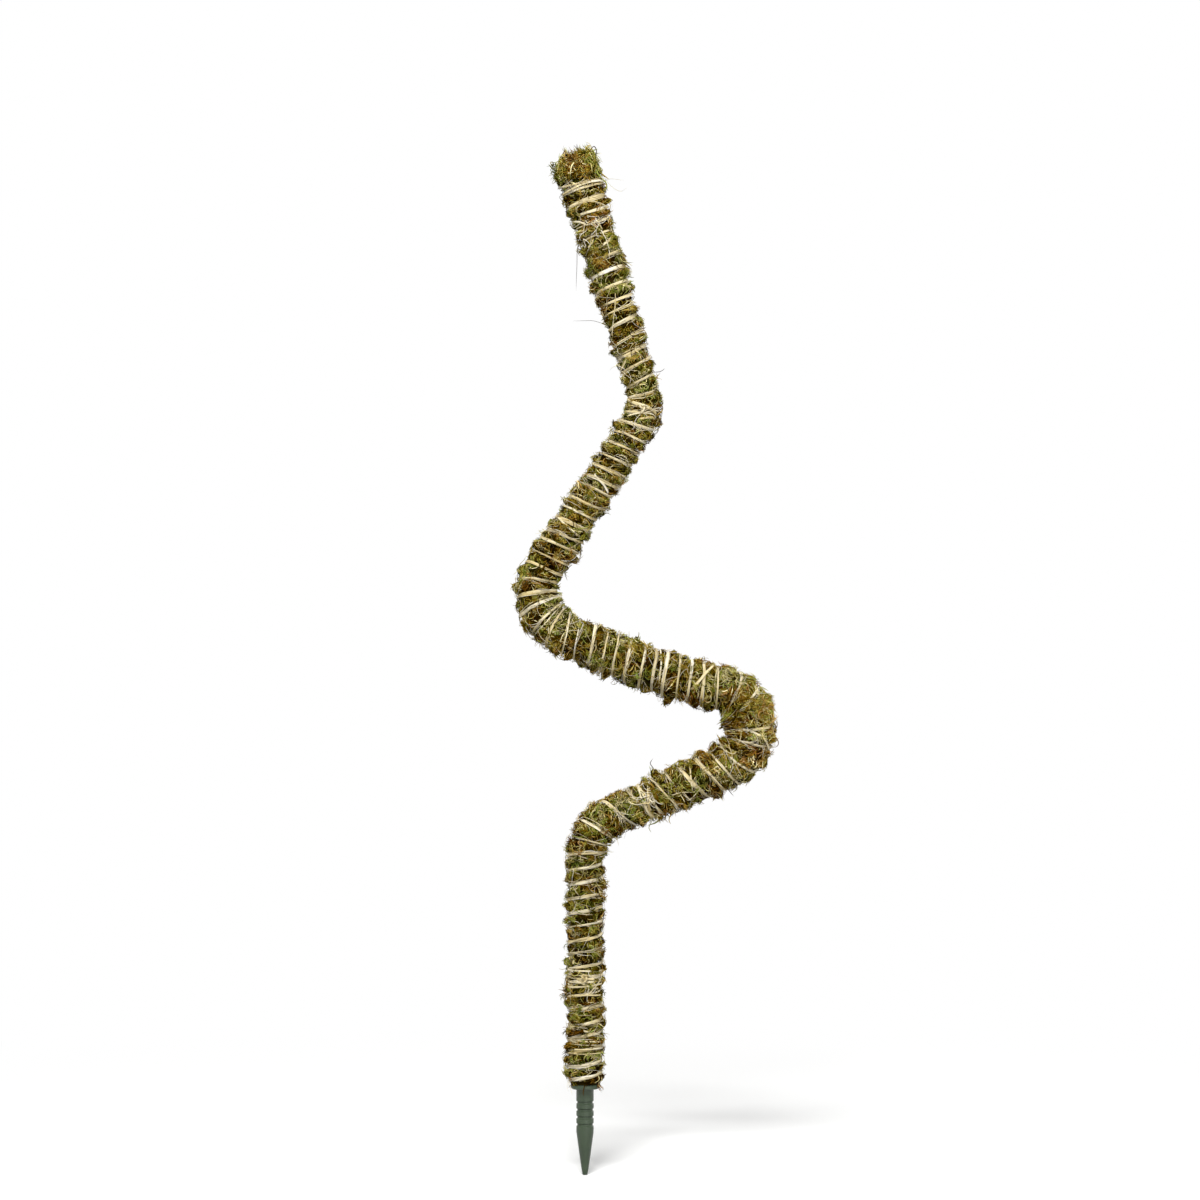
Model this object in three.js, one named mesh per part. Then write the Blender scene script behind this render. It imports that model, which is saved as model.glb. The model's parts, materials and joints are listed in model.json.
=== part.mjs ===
// Bendable moss pole: a soft wire, padded with fibre, sleeved in sheet moss, bound with raffia and
// set into a plastic ground spike. It is bent by hand into a climbing zigzag and stays as it is bent.
// Sizes are in millimetres and turns in degrees. +Z is up, +X is to the right seen from the front, and
// the origin is on the pole's axis at the ground line. The centre line lies in the XZ plane, and a turn
// is positive to the left of the way up.
import * as THREE from "three";

// Clearance between neighbouring pieces
const FIT_GAP = 0.3;

// Core wire, and the spike and cap that close its ends
const WIRE_DIAMETER = 4;
const SPIKE_DEPTH = 50; // from the ground line down to the tip
const SPIKE_DIAMETER = 8;
const SPIKE_TIP_DIAMETER = 2.4;
const SPIKE_TAPER_LENGTH = 20;
const SPIKE_SOCKET_DEPTH = 18;
const COLLAR_DIAMETER = 13;
const COLLAR_HEIGHT = 2;
const CAP_WALL = 0.9;
const CAP_LENGTH = 8;
const WIRE_BELOW_TOP = 7; // the wire stops this far below the moss sleeve's top

// Fibre packing and moss sleeve
const PACKING_DIAMETER = 10.6;
const MOSS_BELOW_GROUND = 8;
const LUMP_HEIGHT = 0.4;
const LUMP_SPACING = 34;
const LUMP_LOBES = 2;
const CROWN_HEIGHT = 3.2;
const CROWN_EDGE_INSET = 2;
const CROWN_DISH_SLOPE = 5;
const CROWN_DISH_DEPTH = 0.8;

// Straight and bowed runs of the centre line, from the ground upwards
const FOOT_LENGTH = 95;
const LOWER_LENGTH = 58;
const MIDDLE_LENGTH = 78.3;
const MIDDLE_BOW = -13;
const UPPER_LENGTH = 74.5;
const TIP_LENGTH = 60;
const FLARE_LENGTH = 48;

// Bends between the runs, each with its radius on the inside of the moss
const LOW_BEND_TURN = -66;
const LOW_BEND_INSIDE = 13.6;
const RIGHT_BEND_TURN = 143;
const RIGHT_BEND_INSIDE = 8;
const LEFT_BEND_TURN = -97.5;
const LEFT_BEND_INSIDE = 10.9;
const HIGH_BEND_TURN = 50.5;
const HIGH_BEND_INSIDE = 20.8;

// Thickness of the moss over the packing, where the runs and bends meet
const FOOT_MOSS = 2.1;
const FOOT_TOP_MOSS = 2.4;
const LOWER_START_MOSS = 2.6;
const LOWER_END_MOSS = 4.6;
const MIDDLE_START_MOSS = 4.4;
const MIDDLE_END_MOSS = 3.8;
const UPPER_START_MOSS = 3.3;
const UPPER_END_MOSS = 2.1;
const TIP_START_MOSS = 1.5;
const FLARE_START_MOSS = 2.3;
const TOP_MOSS = 4.3;

// Raffia binding, ties and knots
const RAFFIA_WIDTH = 1.6;
const RAFFIA_THICKNESS = 0.6;
const TIE_GAP = 1.4; // between one turn of a tie and the next, on a straight run
const TIE_TURNS = 2.5;
const KNOT_STRAND_DIAMETER = 0.8;
const KNOT_LOBE = 0.9; // a third of the knot's reach from its middle
const KNOT_LIFT = 1.2; // how far the strand rises and dips where it crosses itself
const KNOT_OPENING = 0.4; // radians left open each side of the gap between the knot's ends

// Where the ties sit along the centre line, from the ground upwards
const FOOT_TIE_AT = 5;
const STEM_TIE_AT = 38;
const LOW_TIE_PAST_BEND = 14;
const HIGH_TIE_PAST_HINGE = 2.4;
const CROWN_TIE_BELOW_TOP = 20;

// How finely the round shapes are faceted
const SLEEVE_SIDES = 10;
const CORE_SIDES = 8;
const RING_SPACING = 8;
const BEND_STEP = 16; // degrees of turn between rings
const KNOT_STEPS = 34;
const KNOT_SIDES = 4;

// Angles round the pole, from its right-hand side
const BACK = Math.PI / 2;
const FRONT = -Math.PI / 2;

const materials = {
  wire: new THREE.MeshStandardMaterial({ color: 0xa9acb0, roughness: 0.35, metalness: 1 }),
  plastic: new THREE.MeshStandardMaterial({ color: 0x24301f, roughness: 0.5, metalness: 0 }),
  fibre: new THREE.MeshStandardMaterial({ color: 0x6b4a2c, roughness: 1, metalness: 0 }),
  moss: new THREE.MeshStandardMaterial({ color: 0x6e6230, roughness: 1, metalness: 0 }),
  raffia: new THREE.MeshStandardMaterial({ color: 0xd9c79a, roughness: 0.6, metalness: 0 }),
};

// A faceted bore whose flats clear a round of this diameter by the fit gap
function boreRadius(diameter, sides) {
  return (diameter / 2 + FIT_GAP) / Math.cos(Math.PI / sides);
}

const WIRE_BORE = boreRadius(WIRE_DIAMETER, CORE_SIDES);
const SLEEVE_BORE = boreRadius(PACKING_DIAMETER, SLEEVE_SIDES);

// The centre line: pieces of steady curvature, each starting where the one before it ends

function run(length, turn, startMoss, endMoss) {
  return { length, turn: THREE.MathUtils.degToRad(turn), startMoss, endMoss };
}

function bend(inside, turn, startMoss, endMoss) {
  const radius = inside + SLEEVE_BORE + (startMoss + endMoss) / 2;
  return run(radius * Math.abs(THREE.MathUtils.degToRad(turn)), turn, startMoss, endMoss);
}

function chainOf(pieces) {
  let from = { start: -MOSS_BELOW_GROUND, x: 0, z: -MOSS_BELOW_GROUND, heading: 0 };
  for (const piece of pieces) {
    Object.assign(piece, from);
    piece.curvature = piece.turn / piece.length;
    piece.end = piece.start + piece.length;
    from = { start: piece.end, ...along(piece, piece.end) };
  }
  return pieces;
}

// Place and heading on a piece, or on its run-on beyond its ends
function along(piece, distance) {
  const travelled = distance - piece.start;
  const heading = piece.heading + piece.curvature * travelled;
  if (piece.turn === 0) {
    const x = piece.x - Math.sin(heading) * travelled;
    const z = piece.z + Math.cos(heading) * travelled;
    return { x, z, heading };
  }
  const x = piece.x + (Math.cos(heading) - Math.cos(piece.heading)) / piece.curvature;
  const z = piece.z + (Math.sin(heading) - Math.sin(piece.heading)) / piece.curvature;
  return { x, z, heading };
}

const foot = run(MOSS_BELOW_GROUND + FOOT_LENGTH, 0, FOOT_MOSS, FOOT_TOP_MOSS);
const lowBend = bend(LOW_BEND_INSIDE, LOW_BEND_TURN, FOOT_TOP_MOSS, LOWER_START_MOSS);
const lower = run(LOWER_LENGTH, 0, LOWER_START_MOSS, LOWER_END_MOSS);
const rightBend = bend(RIGHT_BEND_INSIDE, RIGHT_BEND_TURN, LOWER_END_MOSS, MIDDLE_START_MOSS);
const middle = run(MIDDLE_LENGTH, MIDDLE_BOW, MIDDLE_START_MOSS, MIDDLE_END_MOSS);
const leftBend = bend(LEFT_BEND_INSIDE, LEFT_BEND_TURN, MIDDLE_END_MOSS, UPPER_START_MOSS);
const upper = run(UPPER_LENGTH, 0, UPPER_START_MOSS, UPPER_END_MOSS);
const highBend = bend(HIGH_BEND_INSIDE, HIGH_BEND_TURN, UPPER_END_MOSS, TIP_START_MOSS);
const tip = run(TIP_LENGTH, 0, TIP_START_MOSS, FLARE_START_MOSS);
const flare = run(FLARE_LENGTH, 0, FLARE_START_MOSS, TOP_MOSS);
const centreLine = chainOf([foot, lowBend, lower, rightBend, middle, leftBend, upper, highBend, tip, flare]);
const TOP = flare.end;

function pieceAt(distance) {
  return centreLine.find((piece) => distance <= piece.end) ?? flare;
}

// Centre, heading, way up, right-hand side and moss thickness of the pole at a distance along it
function stationAt(distance) {
  const piece = pieceAt(distance);
  const { x, z, heading } = along(piece, distance);
  const share = THREE.MathUtils.smoothstep(distance, piece.start, piece.end);
  return {
    distance,
    centre: new THREE.Vector3(x, 0, z),
    up: new THREE.Vector3(-Math.sin(heading), 0, Math.cos(heading)),
    right: new THREE.Vector3(Math.cos(heading), 0, Math.sin(heading)),
    heading,
    moss: THREE.MathUtils.lerp(piece.startMoss, piece.endMoss, share),
  };
}

function outwardAt(station, angle) {
  const outward = station.right.clone().multiplyScalar(Math.cos(angle));
  outward.y = Math.sin(angle);
  return outward;
}

function mossRadiusAt(station, angle) {
  const wave = (2 * Math.PI * station.distance) / LUMP_SPACING + LUMP_LOBES * angle;
  return SLEEVE_BORE + station.moss + LUMP_HEIGHT * Math.sin(wave);
}

// Distances of the rings between two ends: bent pieces always have them, straight ones only if asked
function ringDistances(start, end, isFine) {
  const distances = [start];
  for (const piece of centreLine) {
    const from = Math.max(start, piece.start);
    const to = Math.min(end, piece.end);
    if (to <= from) {
      continue;
    }
    const turned = THREE.MathUtils.radToDeg(Math.abs(piece.curvature) * (to - from));
    const bySpacing = isFine || piece.turn !== 0 ? Math.ceil((to - from) / RING_SPACING) : 1;
    const steps = Math.max(bySpacing, Math.ceil(turned / BEND_STEP));
    for (let step = 1; step <= steps; step += 1) {
      distances.push(THREE.MathUtils.lerp(from, to, step / steps));
    }
  }
  return distances;
}

function ringAt(distance, sides, radiusAt) {
  const station = stationAt(distance);
  const ring = [];
  for (let side = 0; side < sides; side += 1) {
    const angle = (2 * Math.PI * side) / sides + BACK;
    const outward = outwardAt(station, angle);
    ring.push(outward.multiplyScalar(radiusAt(station, angle)).add(station.centre));
  }
  return ring;
}

// A closed skin over rings of equal count: looped rings join last to first, others get flat ends
function skin(rings, isLooped) {
  const sides = rings[0].length;
  const index = [];
  const ringCount = rings.length;
  const bands = isLooped ? ringCount : ringCount - 1;
  for (let band = 0; band < bands; band += 1) {
    const near = band * sides;
    const far = ((band + 1) % ringCount) * sides;
    for (let side = 0; side < sides; side += 1) {
      const next = (side + 1) % sides;
      index.push(near + side, near + next, far + next);
      index.push(near + side, far + next, far + side);
    }
  }
  if (!isLooped) {
    const last = (ringCount - 1) * sides;
    for (let side = 1; side < sides - 1; side += 1) {
      index.push(0, side + 1, side);
      index.push(last, last + side, last + side + 1);
    }
  }
  const geometry = new THREE.BufferGeometry().setFromPoints(rings.flat());
  geometry.setIndex(index);
  geometry.computeVertexNormals();
  return geometry;
}

function wireGeometry(start, end) {
  const distances = ringDistances(start, end, false);
  return skin(distances.map((distance) => ringAt(distance, CORE_SIDES, () => WIRE_DIAMETER / 2)), false);
}

function packingGeometry(start, end) {
  const distances = ringDistances(start, end, false);
  const outside = distances.map((distance) => ringAt(distance, CORE_SIDES, () => PACKING_DIAMETER / 2));
  const inside = distances.map((distance) => ringAt(distance, CORE_SIDES, () => WIRE_BORE));
  return skin([...outside, ...inside.reverse()], true);
}

function mossGeometry(start, end) {
  const outside = ringDistances(start, end, true).map((distance) =>
    ringAt(distance, SLEEVE_SIDES, mossRadiusAt),
  );
  const inside = ringDistances(start, end, false).map((distance) =>
    ringAt(distance, SLEEVE_SIDES, () => SLEEVE_BORE),
  );
  return skin([...outside, ...inside.reverse()], true);
}

// A flat ribbon wound round the moss, its corners in line with the moss sleeve's own
function ribbonRings(start, pitch, turns, layer) {
  const steps = Math.round(turns * SLEEVE_SIDES);
  const rings = [];
  for (let step = 0; step <= steps; step += 1) {
    const station = stationAt(start + (pitch * step) / SLEEVE_SIDES);
    const angle = (2 * Math.PI * step) / SLEEVE_SIDES + BACK;
    const outward = outwardAt(station, angle);
    const inner = mossRadiusAt(station, angle) + FIT_GAP + layer * (RAFFIA_THICKNESS + FIT_GAP);
    const outer = inner + RAFFIA_THICKNESS;
    const corner = (radius, rise) =>
      station.centre.clone().addScaledVector(outward, radius).addScaledVector(station.up, rise);
    const half = RAFFIA_WIDTH / 2;
    rings.push([corner(inner, -half), corner(inner, half), corner(outer, half), corner(outer, -half)]);
  }
  return trimmed(rings);
}

// The same rings with both ends drawn back by half the fit gap, along the ribbon
function trimmed(rings) {
  const drawBack = (end, next) => {
    const share = FIT_GAP / 2 / end[0].distanceTo(next[0]);
    return end.map((point, corner) => point.clone().lerp(next[corner], share));
  };
  const last = rings.length - 1;
  const ends = [drawBack(rings[0], rings[1]), drawBack(rings[last], rings[last - 1])];
  return [ends[0], ...rings.slice(1, last), ends[1]];
}

// Least distance between points of rings that are at least half a loop apart
function leastGap(rings, halfLoop) {
  let least = Infinity;
  for (let one = 0; one < rings.length; one += 1) {
    for (let other = one + halfLoop; other < rings.length; other += 1) {
      for (const point of rings[one]) {
        for (const opposite of rings[other]) {
          least = Math.min(least, point.distanceTo(opposite));
        }
      }
    }
  }
  return least;
}

function windingGeometry(name, start, end, turns) {
  const rings = ribbonRings(start, (end - start) / turns, turns, 0);
  console.log(`${name}: least gap to itself ${leastGap(rings, SLEEVE_SIDES / 2).toFixed(2)} mm`);
  return skin(rings, false);
}

function tieGeometry(name, start) {
  const rings = ribbonRings(start, RAFFIA_WIDTH + TIE_GAP, TIE_TURNS, 1);
  console.log(`${name}: least gap to itself ${leastGap(rings, SLEEVE_SIDES / 2).toFixed(2)} mm`);
  return skin(rings, false);
}

// An overhand knot: a trefoil left open at the middle of one lobe
class OverhandKnot extends THREE.Curve {
  getPoint(share, target = new THREE.Vector3()) {
    const angle = Math.PI + THREE.MathUtils.lerp(KNOT_OPENING, 2 * Math.PI - KNOT_OPENING, share);
    target.x = KNOT_LOBE * (Math.sin(angle) + 2 * Math.sin(2 * angle));
    target.y = KNOT_LOBE * (Math.cos(angle) - 2 * Math.cos(2 * angle));
    target.z = -KNOT_LIFT * Math.sin(3 * angle);
    return target;
  }
}

function knotGeometry(name) {
  const curve = new OverhandKnot();
  const frames = curve.computeFrenetFrames(KNOT_STEPS);
  const centres = [];
  const rings = [];
  for (let step = 0; step <= KNOT_STEPS; step += 1) {
    const centre = curve.getPointAt(step / KNOT_STEPS);
    const ring = [];
    for (let side = 0; side < KNOT_SIDES; side += 1) {
      const angle = (2 * Math.PI * side) / KNOT_SIDES;
      const point = centre.clone();
      point.addScaledVector(frames.normals[step], (Math.cos(angle) * KNOT_STRAND_DIAMETER) / 2);
      point.addScaledVector(frames.binormals[step], (Math.sin(angle) * KNOT_STRAND_DIAMETER) / 2);
      ring.push(point);
    }
    centres.push([centre]);
    rings.push(ring);
  }
  const gap = leastGap(centres, Math.ceil(KNOT_STEPS / 6)) - KNOT_STRAND_DIAMETER;
  console.log(`${name}: least gap to itself ${gap.toFixed(2)} mm`);
  return skin(rings, false);
}

function latheGeometry(profile, sides) {
  return new THREE.LatheGeometry(profile.map(([radius, height]) => new THREE.Vector2(radius, height)), sides);
}

// Ground spike, from its tip up: taper, round shank, collar under the moss, and the wire's socket
function spikeGeometry() {
  const top = SPIKE_DEPTH - MOSS_BELOW_GROUND - FIT_GAP;
  return latheGeometry(
    [
      [0, 0],
      [SPIKE_TIP_DIAMETER / 2, 0],
      [SPIKE_DIAMETER / 2, SPIKE_TAPER_LENGTH],
      [SPIKE_DIAMETER / 2, top - COLLAR_HEIGHT],
      [COLLAR_DIAMETER / 2, top - COLLAR_HEIGHT],
      [COLLAR_DIAMETER / 2, top],
      [WIRE_BORE, top],
      [WIRE_BORE, top - SPIKE_SOCKET_DEPTH],
      [0, top - SPIKE_SOCKET_DEPTH],
    ],
    CORE_SIDES,
  );
}

// Cap over the wire's top end, open below
function capGeometry() {
  const rim = WIRE_BORE + CAP_WALL;
  return latheGeometry(
    [
      [0, CAP_LENGTH - CAP_WALL],
      [WIRE_BORE, CAP_LENGTH - CAP_WALL],
      [WIRE_BORE, 0],
      [rim, 0],
      [rim, CAP_LENGTH - CAP_WALL],
      [rim - CAP_WALL, CAP_LENGTH],
      [0, CAP_LENGTH],
    ],
    CORE_SIDES,
  );
}

// Tuft that closes the moss sleeve's top: a plug inside the sleeve under a dished dome
function crownGeometry(plugDepth) {
  const plug = PACKING_DIAMETER / 2;
  const rim = SLEEVE_BORE + TOP_MOSS - LUMP_HEIGHT;
  const edge = rim - CROWN_EDGE_INSET;
  const dish = edge - CROWN_DISH_SLOPE;
  return latheGeometry(
    [
      [0, -plugDepth],
      [plug, -plugDepth],
      [plug, FIT_GAP],
      [rim, FIT_GAP],
      [rim, CROWN_HEIGHT / 2],
      [edge, CROWN_HEIGHT],
      [dish, CROWN_HEIGHT - CROWN_DISH_DEPTH],
      [0, CROWN_HEIGHT - CROWN_DISH_DEPTH],
    ],
    SLEEVE_SIDES,
  );
}

function meshOf(name, geometry, material) {
  const mesh = new THREE.Mesh(geometry, material);
  mesh.name = name;
  return mesh;
}

// A lathe-turned piece stood on the centre line, its own axis along the pole
function stoodAt(distance, mesh) {
  const station = stationAt(distance);
  mesh.geometry.rotateX(Math.PI / 2);
  mesh.position.copy(station.centre);
  mesh.rotation.y = -station.heading;
  return mesh;
}

// A knot laid flat against a tie at an angle round the pole
function knotOn(distance, angle, name) {
  const station = stationAt(distance);
  const outward = outwardAt(station, angle);
  const layers = 2 * (FIT_GAP + RAFFIA_THICKNESS) + FIT_GAP;
  const lift = mossRadiusAt(station, angle) + layers + KNOT_LIFT + KNOT_STRAND_DIAMETER / 2;
  const mesh = meshOf(name, knotGeometry(name), materials.raffia);
  const across = station.up.clone().cross(outward);
  mesh.setRotationFromMatrix(new THREE.Matrix4().makeBasis(across, station.up, outward));
  mesh.position.copy(station.centre).addScaledVector(outward, lift);
  return mesh;
}

// The hinge places of a bend, spread evenly along its arc
function hingesOf(piece, count) {
  const places = [];
  for (let hinge = 0; hinge < count; hinge += 1) {
    places.push(piece.start + (piece.length * (hinge + 0.5)) / count);
  }
  return places;
}

const [lowFirst, lowSecond] = hingesOf(lowBend, 2);
const [rightFirst, rightSecond, rightThird] = hingesOf(rightBend, 3);
const [leftFirst, leftSecond] = hingesOf(leftBend, 2);
const [highFirst, highSecond] = hingesOf(highBend, 2);

// Stretches of the pole between hinges, each with its turns of raffia
const stretches = [
  { name: "foot", start: foot.start, end: lowFirst, turns: 17 },
  { name: "low_bend", start: lowFirst, end: lowSecond, turns: 2 },
  { name: "lower_arm", start: lowSecond, end: rightFirst, turns: 9 },
  { name: "right_bend_a", start: rightFirst, end: rightSecond, turns: 2 },
  { name: "right_bend_b", start: rightSecond, end: rightThird, turns: 2 },
  { name: "middle_arm", start: rightThird, end: leftFirst, turns: 15 },
  { name: "left_bend", start: leftFirst, end: leftSecond, turns: 3 },
  { name: "upper_arm", start: leftSecond, end: highFirst, turns: 14 },
  { name: "high_bend", start: highFirst, end: highSecond, turns: 2 },
  { name: "tip", start: highSecond, end: TOP, turns: 17 },
];

// The binding's upper end lies under the crown tie, and the moss above it is bare
const tieHeight = (RAFFIA_WIDTH + TIE_GAP) * TIE_TURNS;
const crownTieAt = TOP - CROWN_TIE_BELOW_TOP;
const bindingTop = crownTieAt + tieHeight;

const pole = new THREE.Group();
const capTop = TOP - WIRE_BELOW_TOP + CAP_WALL + FIT_GAP;
const capFoot = capTop - CAP_LENGTH;

for (const { name, start, end, turns } of stretches) {
  const isFoot = start === foot.start;
  const isTip = end === TOP;
  const from = start + FIT_GAP / 2;
  const to = end - FIT_GAP / 2;
  const wireFrom = isFoot ? foot.start - SPIKE_SOCKET_DEPTH : from;
  const wireTo = isTip ? TOP - WIRE_BELOW_TOP : to;
  const packingTo = isTip ? capFoot - FIT_GAP : to;
  const boundTo = isTip ? bindingTop : end;
  const group = new THREE.Group();
  group.add(
    meshOf(`wire_${name}`, wireGeometry(wireFrom, wireTo), materials.wire),
    meshOf(`packing_${name}`, packingGeometry(from, packingTo), materials.fibre),
    meshOf(`moss_${name}`, mossGeometry(from, to), materials.moss),
    meshOf(`raffia_${name}`, windingGeometry(`raffia_${name}`, start, boundTo, turns), materials.raffia),
  );
  pole.add(group);
}

const spike = meshOf("ground_spike", spikeGeometry(), materials.plastic);
const cap = meshOf("wire_cap", capGeometry(), materials.plastic);
const crown = meshOf("moss_crown", crownGeometry(TOP - capTop - FIT_GAP), materials.moss);
pole.add(stoodAt(-SPIKE_DEPTH, spike), stoodAt(capFoot, cap), stoodAt(TOP, crown));

const ties = [
  { name: "foot", at: FOOT_TIE_AT, isKnotted: false },
  { name: "stem", at: STEM_TIE_AT, isKnotted: true },
  { name: "low", at: lowBend.end + LOW_TIE_PAST_BEND, isKnotted: true },
  { name: "high", at: highFirst + HIGH_TIE_PAST_HINGE, isKnotted: true },
  { name: "crown", at: crownTieAt, isKnotted: false },
];
for (const { name, at, isKnotted } of ties) {
  pole.add(meshOf(`${name}_tie`, tieGeometry(`${name}_tie`, at), materials.raffia));
  if (isKnotted) {
    pole.add(knotOn(at + tieHeight / 2, FRONT, `${name}_knot`));
  }
}

export default pole;
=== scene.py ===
"""The looks of a bendable moss pole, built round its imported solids.

Lengths are in millimetres and angles in radians unless a name says otherwise, and a mesh is turned into
metres as it is made. A place on the pole is a distance along its centre line from the ground line, an angle
round it from its right-hand side, and a radius.
"""

import json
import math
from types import SimpleNamespace

import bpy
import numpy as np
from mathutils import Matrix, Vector

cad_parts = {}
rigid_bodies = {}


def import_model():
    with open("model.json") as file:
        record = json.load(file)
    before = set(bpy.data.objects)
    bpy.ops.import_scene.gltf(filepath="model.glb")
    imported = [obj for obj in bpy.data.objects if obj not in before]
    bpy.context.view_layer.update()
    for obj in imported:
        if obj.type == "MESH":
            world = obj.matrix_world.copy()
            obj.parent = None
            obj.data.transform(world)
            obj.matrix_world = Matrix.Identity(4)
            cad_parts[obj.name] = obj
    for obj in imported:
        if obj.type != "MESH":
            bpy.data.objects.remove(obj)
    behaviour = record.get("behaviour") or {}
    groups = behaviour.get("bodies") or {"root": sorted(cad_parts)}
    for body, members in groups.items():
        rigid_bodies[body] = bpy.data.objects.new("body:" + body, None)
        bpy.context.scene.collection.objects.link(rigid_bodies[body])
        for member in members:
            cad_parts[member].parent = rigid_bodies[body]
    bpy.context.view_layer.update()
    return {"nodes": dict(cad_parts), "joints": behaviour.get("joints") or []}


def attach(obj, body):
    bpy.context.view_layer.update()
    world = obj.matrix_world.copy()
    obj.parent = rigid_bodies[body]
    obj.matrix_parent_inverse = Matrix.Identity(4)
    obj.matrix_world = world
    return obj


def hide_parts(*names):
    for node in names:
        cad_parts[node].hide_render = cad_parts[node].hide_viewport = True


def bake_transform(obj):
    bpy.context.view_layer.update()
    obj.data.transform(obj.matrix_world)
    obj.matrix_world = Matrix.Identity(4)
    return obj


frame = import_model()

MM = 0.001
SEED = 11
FULL_TURN = 2 * math.pi
BACK = math.pi / 2
FRONT = -math.pi / 2

# The pole's own sizes, the same as its solids have
FIT_GAP = 0.3
PACKING_DIAMETER = 10.6
SLEEVE_SIDES = 10
SLEEVE_BORE = (PACKING_DIAMETER / 2 + FIT_GAP) / math.cos(math.pi / SLEEVE_SIDES)
WIRE_DIAMETER = 4
MOSS_BELOW_GROUND = 8
LUMP_HEIGHT = 0.4
LUMP_SPACING = 34
LUMP_LOBES = 2
SPIKE_DEPTH = 50
SPIKE_DIAMETER = 8
SPIKE_TIP_DIAMETER = 2.4
SPIKE_TAPER_LENGTH = 20
SPIKE_SOCKET_DEPTH = 18
COLLAR_DIAMETER = 13
COLLAR_HEIGHT = 2
CROWN_TIE_BELOW_TOP = 20
TIE_HEIGHT = 7.5

# Looks of the moss
BODY_BELOW = 0.9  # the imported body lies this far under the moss's surface
BODY_RING_STEP = 0.9
BODY_COLUMNS = 72
SURFACE_BELOW = 0.05  # that surface, lumps apart, lies this far under the solid's outline
BROAD_LUMP = 0.8  # height of lumps about 5 mm wide
FINE_LUMP = 0.3  # of those about 3 mm wide
SHOULDER_LENGTH = 9  # the sleeve's upper end is rounded in over this length
SHOULDER_DROP = 2.9
CROWN_SHIFT = 1.4  # the crown lies this far right of the sleeve's middle
GROOVE_DEPTH = 1.3  # how far the raffia draws the moss in
GROOVE_REACH = 1.5
PRESSED_SHARE = 0.2  # of a strand's height that is left under the raffia
MOST_CURL = 3.4
BARBS = 8  # on each sprig
HAIRPIN_FILL = 3.0  # moss packed into the hairpin's inner corner, past its solid's outline
HAIRPIN_FILL_LENGTH = 17
LARGEST_GIRTH = 10.5
LARGEST_STRETCH = 1.6  # of the moss round the outside of a bend
COMBED_TURN = 2.4  # how far the ways of neighbouring strands turn from place to place
TINT_MIDDLE = 0.48
TINT_PATCHES = 0.16  # how far the tint goes from the middle in patches, in speckles and by chance
TINT_SPECKLES = 0.07
TINT_CHANCE = 0.07
DRY_TINTS = (0.88, 1.0)
MOST_IN_PIECE = 190000  # triangles

# Looks of the raffia
RAFFIA_WIDTH = 1.45
RAFFIA_THICKNESS = 0.34
RAFFIA_HEIGHT = -0.25  # its middle, over the sleeve's outline
RAFFIA_STEPS = 40  # for each turn
RAFFIA_FOLLOW = 0.35  # share of the moss's lumps that a strip rides over
WIDTH_SHARE = 0.9  # of a turn's width where it was measured
COVER_DEPTH = 1.4  # how deep the binding lies where the moss has spread over it
SPLIT_HEIGHT, STRAY_HEIGHT, CROSSING_HEIGHT = 0.15, 0.42, 0.8  # of loose strips over the binding
SPLIT_THICKNESS, STRAY_THICKNESS, CROSSING_THICKNESS, KNOT_THICKNESS = 0.24, 0.26, 0.28, 0.4
STRAY_STRIP_SPACING = 16  # length of arm for each stray strip


def smooth(share):
    return share * share * (3 - 2 * share)


# The centre line: runs and bends, each starting where the one before it ends

def run(length, turn_deg, start_moss, end_moss):
    return length, math.radians(turn_deg), start_moss, end_moss


def bend(inside, turn_deg, start_moss, end_moss):
    radius = inside + SLEEVE_BORE + (start_moss + end_moss) / 2
    return run(radius * abs(math.radians(turn_deg)), turn_deg, start_moss, end_moss)


PIECES = [
    run(MOSS_BELOW_GROUND + 95, 0, 2.1, 2.4),
    bend(13.6, -66, 2.4, 2.6),
    run(58, 0, 2.6, 4.6),
    bend(8, 143, 4.6, 4.4),
    run(78.3, -13, 4.4, 3.8),
    bend(10.9, -97.5, 3.8, 3.3),
    run(74.5, 0, 3.3, 2.1),
    bend(20.8, 50.5, 2.1, 1.5),
    run(60, 0, 1.5, 2.3),
    run(48, 0, 2.3, 4.3),
]
lengths, turns, start_moss, end_moss = np.array(PIECES).T
curves = turns / lengths
ends = np.cumsum(lengths) - MOSS_BELOW_GROUND
starts = ends - lengths
headings = np.cumsum(turns) - turns
TOP = ends[-1]


def chord(length, heading, turn):
    """How far an arc of that length goes to the right and up."""
    reach = length * np.sinc(turn / FULL_TURN)
    return -np.sin(heading + turn / 2) * reach, np.cos(heading + turn / 2) * reach


steps_x, steps_z = chord(lengths, headings, turns)
corners_x = np.cumsum(steps_x) - steps_x
corners_z = np.cumsum(steps_z) - steps_z - MOSS_BELOW_GROUND


def station(distance):
    """Place, heading to the left of upright, and moss thickness at distances along the pole."""
    distance = np.asarray(distance, float)
    piece = np.clip(np.searchsorted(ends, distance), 0, len(ends) - 1)
    travelled = distance - starts[piece]
    turned = curves[piece] * travelled
    dx, dz = chord(travelled, headings[piece], turned)
    share = smooth(np.clip(travelled / lengths[piece], 0, 1))
    moss = start_moss[piece] + (end_moss[piece] - start_moss[piece]) * share
    return corners_x[piece] + dx, corners_z[piece] + dz, headings[piece] + turned, moss


def sleeve_radius(distance):
    """The sleeve's plain radius, without lumps."""
    return SLEEVE_BORE + station(distance)[3]


def upward(distance):
    heading = station(distance)[2]
    return np.stack([-np.sin(heading), 0 * heading, np.cos(heading)], -1)


def outward(distance, angle):
    heading = station(distance)[2]
    across = np.cos(angle)
    return np.stack([across * np.cos(heading), np.sin(angle) + 0 * heading, across * np.sin(heading)], -1)


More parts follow.
